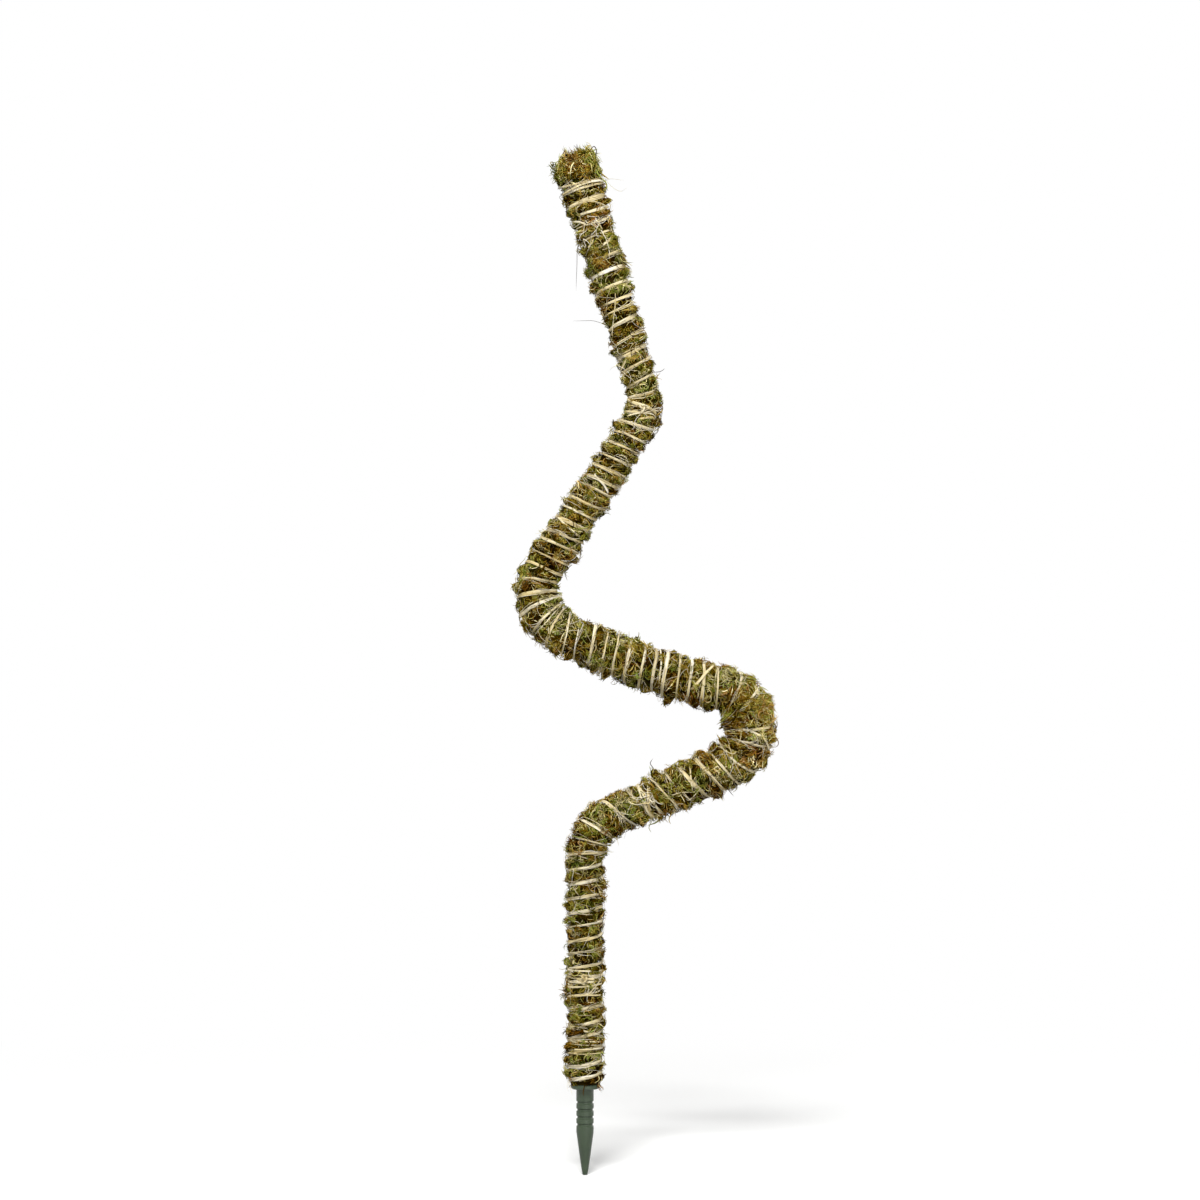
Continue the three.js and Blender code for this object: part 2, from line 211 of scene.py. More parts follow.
def place(distance, angle, radius):
    x, z, _, _ = station(distance)
    centre = np.stack([x, 0 * x, z], -1)
    return centre + outward(distance, angle) * np.asarray(radius)[..., None]


def random_field(seed, size, waves=16):
    """A smooth random field over points, about -2 to 2, with lumps of about that size."""
    rng = np.random.default_rng(seed)
    ways = rng.normal(size=(waves, 3))
    ways /= np.linalg.norm(ways, axis=1, keepdims=True)
    ways *= math.pi / size * rng.uniform(0.6, 1.5, (waves, 1))
    shifts = rng.uniform(0, FULL_TURN, waves)
    return lambda points: np.sin(points @ ways.T + shifts).sum(-1) / math.sqrt(waves / 2)


# The raffia's route: turns counted from the bottom, each crossing the front where the photo shows it

BEND_PIECES = {"low": (1, 2), "right": (3, 3), "left": (5, 2), "high": (7, 2)}  # place in PIECES, hinges
ARM_PIECES = {"foot": (0, 0), "lower_arm": (2, 2), "middle_arm": (4, 4), "upper_arm": (6, 6), "tip": (8, 9)}
hinge_places = []
for bend_piece, hinge_count in BEND_PIECES.values():
    for hinge in range(hinge_count):
        hinge_places.append(starts[bend_piece] + lengths[bend_piece] * (hinge + 0.5) / hinge_count)
binding_top = TOP - CROWN_TIE_BELOW_TOP + TIE_HEIGHT
TURN_COUNT = 83
HIDDEN_TURNS = {
    0: -MOSS_BELOW_GROUND,
    17: hinge_places[0],
    19: hinge_places[1],
    50: hinge_places[6],
    TURN_COUNT: binding_top,
}
FRONT_TURNS = {  # number of a turn: (distance at the front, width there) of it and of those above it
    19: [
        (125, 1.3), (134.3, 1.1), (139.4, 1.2), (146.6, 1.2), (153, 0.5), (159.9, 1.6), (168, 1.4),
        (175.3, 1.5), (182, 1.0), (192.6, 0.9), (199.1, 1.0), (204.5, 0.5), (211.3, 1.3), (217.6, 1.2),
        (226.5, 1.5), (233.3, 1.4), (239.1, 1.6), (244.6, 1.1), (250.8, 1.5), (256.2, 1.2), (262.3, 1.2),
        (269.2, 1.4), (275.3, 1.2), (281.5, 1.1), (287.5, 1.3), (294, 1.1), (300.5, 1.2), (307.2, 1.4),
        (312.6, 1.3), (320.1, 1.4),
    ],
    64: [
        (415.3, 1.2), (422.5, 1.1), (430.5, 1.3), (436.5, 0.8), (443.7, 1.7), (450.2, 1.4), (457.6, 1.2),
        (465.4, 1.7), (471.1, 0.6), (475.1, 1.3), (482.2, 1.4), (488.4, 1.4), (495.8, 1.0), (505.8, 1.1),
        (511.5, 0.5), (517.6, 1.3), (522.3, 2.1), (528.8, 0.5), (531, 0.5),
    ],
}
SLANTS = [  # distance, slant: how much steeper than a plain spiral a turn crosses the front
    (115, 0.3), (130, 2.0), (180, 2.0), (195, 0.0), (212, 0.3), (280, 0.5), (300, 1.3), (330, 0.3),
    (470, 0.2), (485, -0.6), (518, -0.6), (528, -1.2),
]
WANDER = 0.45
WIDTH_CHANGE = 0.28
COVERED = [  # distance, angle and reach of places where the moss has spread over the binding
    (517.7, -2.5, 3.2), (511.5, -1.5, 4.5), (495.5, -2.4, 6), (204.5, -2.2, 4.5), (204.8, -1.2, 5),
    (205, -0.3, 5), (211.3, -2.4, 6), (198, -2.9, 4), (188, -2.9, 4), (153, -1.7, 5), (201, 3.14, 9),
]


def knotted(seed, each_turn, turn):
    """Random values joined by straight lines, so many for each turn."""
    knots = np.random.default_rng(seed).normal(size=each_turn * TURN_COUNT + 2)
    return np.interp(each_turn * turn, np.arange(len(knots)), knots)


def running_mean(values, reach):
    padded = np.pad(values, reach, mode="reflect", reflect_type="odd")
    return np.convolve(padded, np.full(2 * reach + 1, 1 / (2 * reach + 1)), "valid")


known_places = dict(HIDDEN_TURNS)
known_widths = {}
for first_turn, seen in FRONT_TURNS.items():
    for turn_number, (seen_at, seen_width) in enumerate(seen, first_turn):
        known_places[turn_number + 0.5] = seen_at
        known_widths[turn_number + 0.5] = seen_width
known_widths |= {turn: RAFFIA_WIDTH for turn in HIDDEN_TURNS if turn not in (19, TURN_COUNT)}
turn_table = np.arange(TURN_COUNT * RAFFIA_STEPS + 1) / RAFFIA_STEPS
steady = running_mean(np.interp(turn_table, *zip(*sorted(known_places.items()))), RAFFIA_STEPS // 4)
width_table = WIDTH_SHARE * np.interp(turn_table, *zip(*sorted(known_widths.items())))
slant = np.interp(steady, *zip(*SLANTS))
near_end = np.clip(np.minimum(turn_table, TURN_COUNT - turn_table), 0, 1)
loose_way = WANDER * knotted(SEED, 2, turn_table) + slant * np.cos(BACK + FULL_TURN * turn_table)
route_table = steady + loose_way * near_end
route_in_order = np.maximum.accumulate(route_table)


def raffia_distance(turn):
    return np.interp(turn, turn_table, route_table)


def raffia_gap(distance, angle):
    """How far a place on the sleeve is from the nearest turn of raffia, along the pole."""
    part = (angle - BACK) / FULL_TURN
    near_turn = np.round(np.interp(distance, route_in_order, turn_table) - part)
    gaps = [np.abs(raffia_distance(near_turn + step + part) - distance) for step in (-1, 0, 1)]
    return np.min(gaps, axis=0)


def covered(distance, angle):
    """How much the moss has spread over the binding there, from 0 to 1."""
    most = 0.0
    for at, towards, reach in COVERED:
        around = 2 * sleeve_radius(at) * np.sin((angle - towards) / 2)
        away = ((distance - at) ** 2 + around ** 2) / reach ** 2
        most = np.maximum(most, np.exp(-away ** 2))
    return most


def drawn_in(distance, angle):
    """How much the raffia holds the moss down there, from 0 to 1."""
    held = np.exp(-((raffia_gap(distance, angle) / GROOVE_REACH) ** 4))
    return held * (1 - covered(distance, angle))


def outline_radius(distance, angle):
    """The sleeve's outline as its solid has it."""
    lump = LUMP_HEIGHT * np.sin(FULL_TURN * distance / LUMP_SPACING + LUMP_LOBES * angle)
    return sleeve_radius(distance) + lump


broad_lumps = random_field(SEED + 1, 5)
fine_lumps = random_field(SEED + 2, 3)


def shoulder_drop(distance, angle):
    """How far the sleeve's upper end is rounded in, more on its left."""
    share = np.clip((distance - TOP) / SHOULDER_LENGTH + 1, 0, 1.3) ** 2
    return (SHOULDER_DROP - CROWN_SHIFT * np.cos(angle)) * share


def hairpin_fill(distance, angle):
    """How far the moss fills the hairpin's inner corner."""
    away = (distance - (starts[3] + ends[3]) / 2) / HAIRPIN_FILL_LENGTH
    return HAIRPIN_FILL * np.exp(-away ** 4) * np.clip(-np.cos(angle), 0, 1) ** 3


def lumpy_radius(distance, angle):
    """The sleeve's outline with the lumps of its moss, where no raffia holds it down."""
    outline = outline_radius(distance, angle)
    points = place(distance, angle, outline)
    lumps = BROAD_LUMP * broad_lumps(points) + FINE_LUMP * fine_lumps(points)
    lumps += hairpin_fill(distance, angle) - shoulder_drop(distance, angle)
    return outline - SURFACE_BELOW + lumps


def body_radius(distance, angle):
    """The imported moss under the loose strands."""
    held = drawn_in(distance, angle)
    nominal = sleeve_radius(distance)
    pressed = np.minimum(nominal, outline_radius(distance, angle)) - GROOVE_DEPTH
    return lumpy_radius(distance, angle) * (1 - held) + pressed * held - BODY_BELOW


# Where pieces belong: arms that ride on one body, and hinge zones that lie between two

STRIPS = {"inner": -1.0, "side": -0.5, "outer": 0.5}  # least cosine of the angle from the bend's outside


def hinge_zones():
    zones = []
    joints = iter(frame["joints"])
    for bend_name, (piece, count) in BEND_PIECES.items():
        step = lengths[piece] / count
        for hinge in range(count):
            joint = next(joints)
            zones.append({
                "name": f"{bend_name}_bend_{hinge + 1}",
                "start": starts[piece] + step * hinge,
                "end": starts[piece] + step * (hinge + 1),
                "bodies": (joint["parent"], joint["child"]),
                "curve": curves[piece],
                "outside": 0.0 if curves[piece] > 0 else math.pi,
            })
    return zones


def arm_zones():
    return [
        {"name": name, "start": starts[first], "end": ends[last], "bodies": (name,)}
        for name, (first, last) in ARM_PIECES.items()
    ]


ARMS = arm_zones()
HINGES = hinge_zones()


def strip_of(zone, angle):
    """Index into STRIPS of places at an angle round a bend."""
    _, side_from, outer_from = STRIPS.values()
    return np.searchsorted([side_from, outer_from], np.cos(angle - zone["outside"]), side="right")


def carry(piece, zone):
    """Rides a piece on its arm, or, in a hinge zone, bakes its place into its mesh."""
    if "curve" not in zone:
        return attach(piece, zone["bodies"][0])
    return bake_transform(piece)


# Making meshes

TINT_SPREAD = 0.008  # between the sides of a strand
STRAND_FLATTENED = 0.7
MAP_RANGE = (0.004, 0.996)


def make_piece(name, points, faces, maps, material, sharp_deg=None):
    """A mesh object from points in millimetres, faces of equal length, and UV maps for each face corner."""
    mesh = bpy.data.meshes.new(name)
    faces = np.asarray(faces, np.int32)
    mesh.vertices.add(len(points))
    mesh.vertices.foreach_set("co", (np.asarray(points) * MM).astype(np.float32).ravel())
    mesh.loops.add(faces.size)
    mesh.loops.foreach_set("vertex_index", faces.ravel())
    mesh.polygons.add(len(faces))
    mesh.polygons.foreach_set("loop_start", np.arange(0, faces.size, faces.shape[1], dtype=np.int32))
    for map_name, corners in maps.items():
        layer = mesh.uv_layers.new(name=map_name)
        layer.data.foreach_set("uv", np.asarray(corners, np.float32).ravel())
    mesh.update(calc_edges=True)
    mesh.shade_smooth()
    if sharp_deg is not None:
        mesh.set_sharp_from_angle(angle=math.radians(sharp_deg))
    mesh.materials.append(material)
    piece = bpy.data.objects.new(name, mesh)
    bpy.context.scene.collection.objects.link(piece)
    return piece


def grid_faces(index):
    """Quads between neighbouring rows and columns of a grid of point numbers."""
    return np.stack([index[:-1, :-1], index[:-1, 1:], index[1:, 1:], index[1:, :-1]], -1).reshape(-1, 4)


def grid_map(rows, columns, top=0.99):
    """Places in the bake map of a grid's points."""
    u, v = np.meshgrid(np.linspace(0.01, 0.99, columns), np.linspace(0.01, top, rows))
    return np.stack([u, v], -1).reshape(-1, 2)


def unit(vectors):
    return vectors / np.maximum(np.linalg.norm(vectors, axis=-1, keepdims=True), 1e-9)


def across_from(along, out):
    return unit(np.cross(along, out))


def tube_mesh(paths, out, widths, tint, light):
    """Thin three-sided strands, closed and pointed, along paths of shape (strands, rings, 3)."""
    count, rings, _ = paths.shape
    along = np.gradient(paths, axis=1)
    across = across_from(along, out)
    lift = across_from(across, along)
    sides = np.radians([90, 210, 330])
    spread = widths[..., None, None] / 2
    offset = across[:, :, None] * np.cos(sides)[:, None]
    offset += lift[:, :, None] * (STRAND_FLATTENED * np.sin(sides)[:, None])
    rims = paths[:, :-1, None] + (offset * spread)[:, :-1]
    points = np.concatenate([rims.reshape(count, -1, 3), paths[:, -1:]], axis=1)
    template = [[0, 1, 2]]
    tip = 3 * (rings - 1)
    for ring in range(rings - 1):
        for side in range(3):
            near, near_next = 3 * ring + side, 3 * ring + (side + 1) % 3
            if ring == rings - 2:
                template.append([near, tip, near_next])
                continue
            template.append([near, near + 3, near_next + 3])
            template.append([near, near_next + 3, near_next])
    each = points.shape[1]
    faces = (np.arange(count)[:, None, None] * each + np.array(template)).reshape(-1, 3)
    side_tint = np.tile([-TINT_SPREAD, 0.0, TINT_SPREAD], rings - 1)
    tints = np.clip(tint[:, None] + np.append(side_tint, 0.0), *MAP_RANGE)
    lights = np.concatenate([np.repeat(light[:, :-1], 3, axis=1), light[:, -1:]], axis=1)
    corners = np.stack([tints, np.clip(lights, *MAP_RANGE)], -1).reshape(-1, 2)[faces]
    return points.reshape(-1, 3), faces, corners


def joined(meshes):
    """Several (points, faces, corner maps) as one."""
    offset = 0
    columns = []
    for points, faces, *maps in meshes:
        columns.append((points, faces + offset, *maps))
        offset += len(points)
    return [np.concatenate(column) for column in zip(*columns)]


# Materials

# Strands painted darker as shade are made more saturated, and those painted lighter are made paler
SATURATION_WHERE_DARK = 1.13
SATURATION_WHERE_LIGHT = 0.84
MOSS_STOPS = [  # place along the ramp, linear colour
    (0.0, (0.026, 0.014, 0.005)),
    (0.16, (0.210, 0.085, 0.014)),
    (0.30, (0.300, 0.155, 0.024)),
    (0.43, (0.340, 0.220, 0.034)),
    (0.56, (0.345, 0.270, 0.040)),
    (0.68, (0.260, 0.260, 0.040)),
    (0.80, (0.230, 0.280, 0.046)),
    (0.90, (0.480, 0.410, 0.130)),
    (1.0, (0.690, 0.600, 0.330)),
]
STRAW_STOPS = [(0.0, (0.500, 0.380, 0.190)), (0.5, (0.740, 0.630, 0.400)), (1.0, (0.890, 0.830, 0.680))]
# Packed moss under the strands: its own dark brown, darkened further as painted shade in the gaps
PACKED_BODY_SHADE_STOPS = [
    (0.30, (0.006, 0.004, 0.001)),
    (0.48, (0.020, 0.011, 0.002)),
    (0.62, (0.036, 0.024, 0.004)),
    (0.75, (0.042, 0.038, 0.006)),
]
RAFFIA_STOPS = [
    (0.35, (0.400, 0.275, 0.095)),
    (0.445, (0.590, 0.470, 0.210)),
    (0.535, (0.735, 0.640, 0.395)),
    (0.63, (0.900, 0.855, 0.745)),
]
PLASTIC_STOPS = [(0.35, (0.030, 0.048, 0.024)), (0.7, (0.046, 0.070, 0.036))]
COIR_STOPS = [(0.35, (0.10, 0.050, 0.020)), (0.65, (0.28, 0.160, 0.075))]
RAFFIA_NOISES = [((4.2, 0.06, 1.0), 5), ((0.16, 0.035, 1.0), 2)]  # scale and detail of streaks and of tone


def new_material(name):
    material = bpy.data.materials.new(name)
    material.use_nodes = True
    return material, material.node_tree, material.node_tree.nodes["Principled BSDF"]


def set_inputs(tree, node, inputs):
    """Gives a node's inputs, by name or number, values or other nodes' outputs."""
    for name, value in inputs.items():
        if isinstance(value, bpy.types.NodeSocket):
            tree.links.new(value, node.inputs[name])
        else:
            node.inputs[name].default_value = value


def add_node(tree, kind, inputs, **settings):
    """The outputs of a new node."""
    node = tree.nodes.new(kind)
    for setting, value in settings.items():
        setattr(node, setting, value)
    set_inputs(tree, node, inputs)
    return node.outputs


def add_ramp(tree, factor, stops):
    """Colours from (place, linear colour) stops, picked by a factor."""
    ramp = tree.nodes.new("ShaderNodeValToRGB")
    elements = ramp.color_ramp.elements
    for number, (position, colour) in enumerate(stops):
        element = elements[number] if number < 2 else elements.new(position)
        element.position = position
        element.color = (*colour, 1)
    set_inputs(tree, ramp, {"Fac": factor})
    return ramp.outputs["Color"]


def add_range(tree, value, low, high, start=0.0, end=1.0, **settings):
    """A value from start to end, stretched to run from low to high."""
    inputs = {"Value": value, "From Min": start, "From Max": end, "To Min": low, "To Max": high}
    return add_node(tree, "ShaderNodeMapRange", inputs, **settings)["Result"]


def add_math(tree, operation, first, second):
    return add_node(tree, "ShaderNodeMath", {0: first, 1: second}, operation=operation)["Value"]


def add_noise(tree, vector, scale, detail):
    return add_node(tree, "ShaderNodeTexNoise", {"Vector": vector, "Scale": scale, "Detail": detail})["Fac"]


def add_bump(tree, height, strength, distance):
    inputs = {"Height": height, "Strength": strength, "Distance": distance}
    return add_node(tree, "ShaderNodeBump", inputs)["Normal"]


def tinted_material(name, stops, dark, bright, roughness, specular):
    """Strands coloured by their own map: its U picks the tint, and its V how light and how pale it is, which
    carries their painted light and shade.
    """
    material, tree, shader = new_material(name)
    uv = add_node(tree, "ShaderNodeUVMap", {}, uv_map="Tint")["UV"]
    parts = add_node(tree, "ShaderNodeSeparateXYZ", {"Vector": uv})
    shade = add_node(tree, "ShaderNodeHueSaturation", {
        "Color": add_ramp(tree, parts["X"], stops),
        "Value": add_range(tree, parts["Y"], dark, bright),
        "Saturation": add_range(tree, parts["Y"], SATURATION_WHERE_DARK, SATURATION_WHERE_LIGHT),
    })
    looks = {"Base Color": shade["Color"], "Roughness": roughness, "Specular IOR Level": specular}
    set_inputs(tree, shader, looks)
    return material


def mottled_material(name, noise, looks, stops=None, gloss=None, grain=None, bump=None):
    """One noise (scale, detail) gives colour and roughness, and the bump too unless a grain is given."""
    material, tree, shader = new_material(name)
    where = add_node(tree, "ShaderNodeTexCoord", {})["Object"]
    mottle = add_noise(tree, where, *noise)
    set_inputs(tree, shader, looks)
    if stops:
        set_inputs(tree, shader, {"Base Color": add_ramp(tree, mottle, stops)})
    if gloss:
        set_inputs(tree, shader, {"Roughness": add_range(tree, mottle, *gloss)})
    if bump:
        height = add_noise(tree, where, *grain) if grain else mottle
        set_inputs(tree, shader, {"Normal": add_bump(tree, height, *bump)})
    return material


def raffia_material():
    """Dry split strip: pale, streaked along its length, tan in places."""
    material, tree, shader = new_material("raffia_strip")
    uv = add_node(tree, "ShaderNodeUVMap", {}, uv_map="Strip")["UV"]
    noises = []
    for scale, detail in RAFFIA_NOISES:
        stretched = add_node(tree, "ShaderNodeMapping", {"Vector": uv, "Scale": scale})["Vector"]
        noises.append(add_noise(tree, stretched, 1.0, detail))
    mean = add_math(tree, "MULTIPLY", add_math(tree, "ADD", *noises), 0.5)
    set_inputs(tree, shader, {
        "Base Color": add_ramp(tree, mean, RAFFIA_STOPS),
        "Normal": add_bump(tree, noises[0], 0.5, 0.0002),
        "Roughness": 0.55,
        "Specular IOR Level": 0.3,
    })
    return material


# Strands, packed moss in their shade, painted darker than its own dark brown as shade, dry strip, dark green
# satin plastic, wire, and coir
MOSS_FIBRE = tinted_material("moss_fibre", MOSS_STOPS, 0.1, 2.4, 0.9, 0.0)
STRAW_FIBRE = tinted_material("straw_fibre", STRAW_STOPS, 0.6, 1.2, 0.6, 0.2)
PACKED_BODY_PAINTED_SHADE = mottled_material(
    "packed_body_painted_shade", (190, 6), {"Roughness": 0.95, "Specular IOR Level": 0.0},
    stops=PACKED_BODY_SHADE_STOPS, grain=(1600, 4), bump=(0.9, 0.0006),
)
RAFFIA = raffia_material()
PLASTIC = mottled_material(
    "moulded_plastic", (60, 4), {},
    stops=PLASTIC_STOPS, gloss=(0.36, 0.56), grain=(4200, 2), bump=(0.25, 0.0001),
)
WIRE = mottled_material(
    "drawn_wire", (700, 3), {"Base Color": (0.62, 0.63, 0.64, 1), "Metallic": 1}, gloss=(0.28, 0.5),
)
COIR = mottled_material("coir_packing", (900, 6), {"Roughness": 0.9}, stops=COIR_STOPS, bump=(0.8, 0.0005))


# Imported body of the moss

def body_mesh(distances, first_column, columns):
    """A closed wedge of the sleeve between its bore and its packed surface."""
    angle = (first_column + np.arange(columns + 1)) * FULL_TURN / BODY_COLUMNS
    along, around = np.meshgrid(distances, angle, indexing="ij")
    outer = place(along, around, body_radius(along, around))
    inner = place(along, around, np.full(along.shape, SLEEVE_BORE))
    points = np.stack([outer, inner]).reshape(-1, 3)
    index = np.arange(len(points)).reshape(2, *along.shape)
    skin = grid_faces(index[0])
    lining = grid_faces(index[1])[:, ::-1]
    walls = [
        grid_faces(index[:, 0, :])[:, ::-1],
        grid_faces(index[:, -1, :]),
        grid_faces(index[:, :, 0]),
        grid_faces(index[:, :, -1])[:, ::-1],
    ]
    hidden = np.concatenate([lining, *walls])
    skin_corners = grid_map(*along.shape, top=0.9)[skin]
    hidden_corner = np.array([[0.01, 0.94], [0.03, 0.94], [0.03, 0.96], [0.01, 0.96]])
    hidden_corners = np.broadcast_to(hidden_corner, (len(hidden), 4, 2))
    return points, np.concatenate([skin, hidden]), np.concatenate([skin_corners, hidden_corners])


def ring_distances(zone):
    count = max(3, math.ceil((zone["end"] - zone["start"]) / BODY_RING_STEP))
    return np.linspace(zone["start"], zone["end"], count + 1)


def finish_body(name, mesh, zone):
    points, faces, corners = mesh
    piece = make_piece(name, points, faces, {"OFBake": corners}, PACKED_BODY_PAINTED_SHADE, sharp_deg=60)
    return carry(piece, zone)


def make_bodies():
    made = {}
    quarter = BODY_COLUMNS // 4
    sixth = BODY_COLUMNS // 6
    for arm in ARMS:
        mesh = body_mesh(ring_distances(arm), quarter, BODY_COLUMNS)
        made[arm["name"]] = finish_body(f"moss_body_{arm['name']}", mesh, arm)
    for zone in HINGES:
        turned = 0 if zone["outside"] == 0 else BODY_COLUMNS // 2
        rings = ring_distances(zone)
        wedges = {
            "outer": [body_mesh(rings, turned - sixth, 2 * sixth)],
            "side": [body_mesh(rings, turned + sixth, sixth), body_mesh(rings, turned - 2 * sixth, sixth)],
            "inner": [body_mesh(rings, turned + 2 * sixth, 2 * sixth)],
        }
        for strip, parts in wedges.items():
            name = f"moss_body_{zone['name']}_{strip}"
            made[name] = finish_body(name, joined(parts), zone)
    return made


# Loose strands of moss. A group of strands is (distance, angle, paths, facing, widths, tint, light).

# A look gives ranges of length, of height over the moss's surface, of the tip's lift and of width, the
# spread of the turn along a strand, the share that raffia leaves loose, the painted light at root and tip
# (dark roots as painted shade deep in the moss, light tips as painted highlight) and its spread, the shift
# of the tint, the share of pale dry ones, and how far ways stray.
MOSS_LAYERS = {
    # Short dull strands that lie close all over, kept dark as painted shade in the gaps under the upper
    # layers
    "mat": SimpleNamespace(
        count=15000, rings=5, length=(2.6, 5.5), height=(-0.9, -0.2), lift=(-0.1, 0.5), turn=1.3, loose=0.0,
        width=(0.3, 0.55), light=(0.02, 0.1, 0.05), lean=-0.12, straw=0.0, astray=0.6,
    ),
    # Long fine curls over the tufts
    "curls": SimpleNamespace(
        count=7000, rings=9, length=(2.8, 7.5), height=(-0.3, 0.3), lift=(0.1, 1.2), turn=2.6, loose=0.08,
        width=(0.26, 0.5), light=(0.26, 0.72, 0.22), lean=0.05, straw=0.32, astray=0.9,
    ),
    # Dead stems, dark brown, curling out of the moss
    "dark_curls": SimpleNamespace(
        count=4000, rings=8, length=(3.0, 7.0), height=(-0.2, 0.3), lift=(0.1, 1.2), turn=2.4, loose=0.08,
        width=(0.32, 0.52), light=(0.02, 0.12, 0.06), lean=-0.3, straw=0.0, astray=0.8,
    ),
    # Stems that carry rows of short barbs
    "sprigs": SimpleNamespace(
        count=2200, rings=5, length=(3.0, 6.5), height=(-0.2, 0.4), lift=(0.3, 1.5), turn=2.0, loose=0.12,
        width=(0.2, 0.32), light=(0.14, 0.46, 0.16), lean=0.1, straw=0.1, astray=0.9,
    ),
    # Longer golden strands along the bare moss above the top tie
    "thatch": SimpleNamespace(
        count=800, rings=9, length=(4.0, 10.0), height=(-0.2, 0.4), lift=(-0.5, 1.4), turn=2.4, loose=1.0,
        width=(0.3, 0.55), light=(0.02, 0.62, 0.24), lean=0.02, straw=0.16, astray=0.8,
    ),
}
# Clumps of strands: those all over, the wisps that stand off, and the crown's
TUFT = SimpleNamespace(
    count=2300, strands=12, rings=7, least_share=0.1, size=(0.7, 1.35), spread=0.8, length=(3.0, 6.4),
    height=(-0.4, 0.2), lift=(0.3, 1.3), astray=0.7, curl=(1.7, 0.6), loose=0.14, width=(0.28, 0.54),
    light=(-0.04, 0.42, 0.17), lean=-0.02, straw=0.1,
)
SHAGGY_LIFTS = [1.0, 1.7, 2.6]  # some tufts stand up more than others, in these shares
SHAGGY_SHARES = [0.68, 0.26, 0.06]
FLYAWAY = SimpleNamespace(
    count=360, strands=5, rings=8, below=0.5, spread=0.5, spread_angle=0.06, length=(2.5, 5.5),
    curl=(3.2, 1.8), droop=0.25, width=(0.2, 0.46), light=(0.12, 0.42, 0.1), lean=0.05,
)
CROWN_TUFT = SimpleNamespace(
    count=175, strands=15, rings=9, spread=0.5, longest=6.0, curl=(3.4, 2.2), droop=0.05,
    width=(0.22, 0.44), light=(-0.04, 0.38, 0.13), lean=0.06, straw=0.15,
)
STRAW_LAYERS = {
    # Curly fibres that have come away from the raffia
    "frayed": SimpleNamespace(
        rings=12, length=(4, 13), height=(0.2, 0.7), lift=(0.0, 1.0), turn=1.5, loose=1.0, width=(0.14, 0.34),
        light=(0.5, 0.65, 0.1), tint=(0.2, 1.0),
    ),
    # The whiter, thicker ones of the tangles
    "tangled": SimpleNamespace(
        rings=12, length=(3, 9), height=(0.4, 0.9), lift=(0.0, 0.9), turn=2.0, loose=1.0, width=(0.28, 0.42),
        light=(0.8, 0.95, 0.1), tint=(0.75, 1.0),
    ),
    # Fibres split off the strips' edges, running almost along them
    "peeled": SimpleNamespace(
        rings=9, length=(4, 11), height=(0.15, 0.4), lift=(-0.2, 0.5), turn=0.4, loose=1.0,
        width=(0.14, 0.34), light=(0.5, 0.6, 0.1), tint=(0.2, 0.95),
    ),
}
PATCHES = [  # distance, angle, reach, and how far the tint moves there
    (496, -1.9, 8, -0.2), (487, -0.9, 10, 0.2), (480, -2.7, 5, -0.1), (458, -3.1, 6, -0.22),
    (446, -1.9, 8, 0.15), (544, -1.3, 9, 0.12), (516, -2.0, 6, 0.2), (256, -1.9, 14, -0.16),
    (165, -1.9, 5, -0.22), (158, -1.3, 8, 0.14),
]
PAINTED_LIGHT_AND_SHADE = [  # distance, angle, reach, and how much lighter the moss is painted there: painted light on lit lumps, painted shade in folds, holes and undersides
    (201, -1.0, 22, 0.18), (207, -1.75, 7, -0.16), (213, -0.5, 8, 0.08), (187, -1.0, 9, 0.06),
    (192, -1.55, 2.5, -0.25), (172, -1.2, 8, 0.06), (534, -1.9, 5, -0.14), (540, -0.7, 4, -0.12),
    (254, -2.2, 9, -0.08), (231, -0.6, 6, 0.06), (515, -2.3, 5, 0.1),
]
WISPS = [  # distance and angle of larger wisps at the pole's edge
    (541, -2.7), (539.5, -2.9), (538, 3.1), (536.5, -2.95), (533, -0.1), (531.5, -0.2), (530, 0.0),
    (500, 0.05), (497, -0.1), (492, -0.15), (486, 0.0), (219, -0.35), (216, -0.2), (208, -0.1),
    (150.5, -0.15), (148.5, -0.1), (146.5, -0.25), (142, -0.1), (262, -3.0), (247, 3.05), (236, -0.1),
    (270, -0.05),
]
patch_field = random_field(SEED + 3, 9)
speckle_field = random_field(SEED + 4, 3)
flow_field = random_field(SEED + 12, 9)
crown_field = random_field(SEED + 13, 4)


def surface_roots(rng, count, least_share=0.2, on_lumps=False):
    """Places spread over the sleeve, thinned where the raffia lies and, if asked, in the hollows."""
    distance = rng.uniform(-MOSS_BELOW_GROUND, TOP, 4 * count)
    angle = rng.uniform(0, FULL_TURN, 4 * count)
    piece = np.clip(np.searchsorted(ends, distance), 0, len(ends) - 1)
    girth = sleeve_radius(distance)
    stretch = 1 + curves[piece] * girth * np.cos(angle)
    area = girth / LARGEST_GIRTH * stretch / LARGEST_STRETCH
    thinned = 1 - (1 - least_share) * drawn_in(distance, angle)
    if on_lumps:
        lumps = broad_lumps(place(distance, angle, girth))
        thinned = thinned * np.clip(0.6 + 0.5 * lumps, 0.06, 1)
    keep = rng.uniform(size=4 * count) < area * thinned
    return distance[keep][:count], angle[keep][:count]


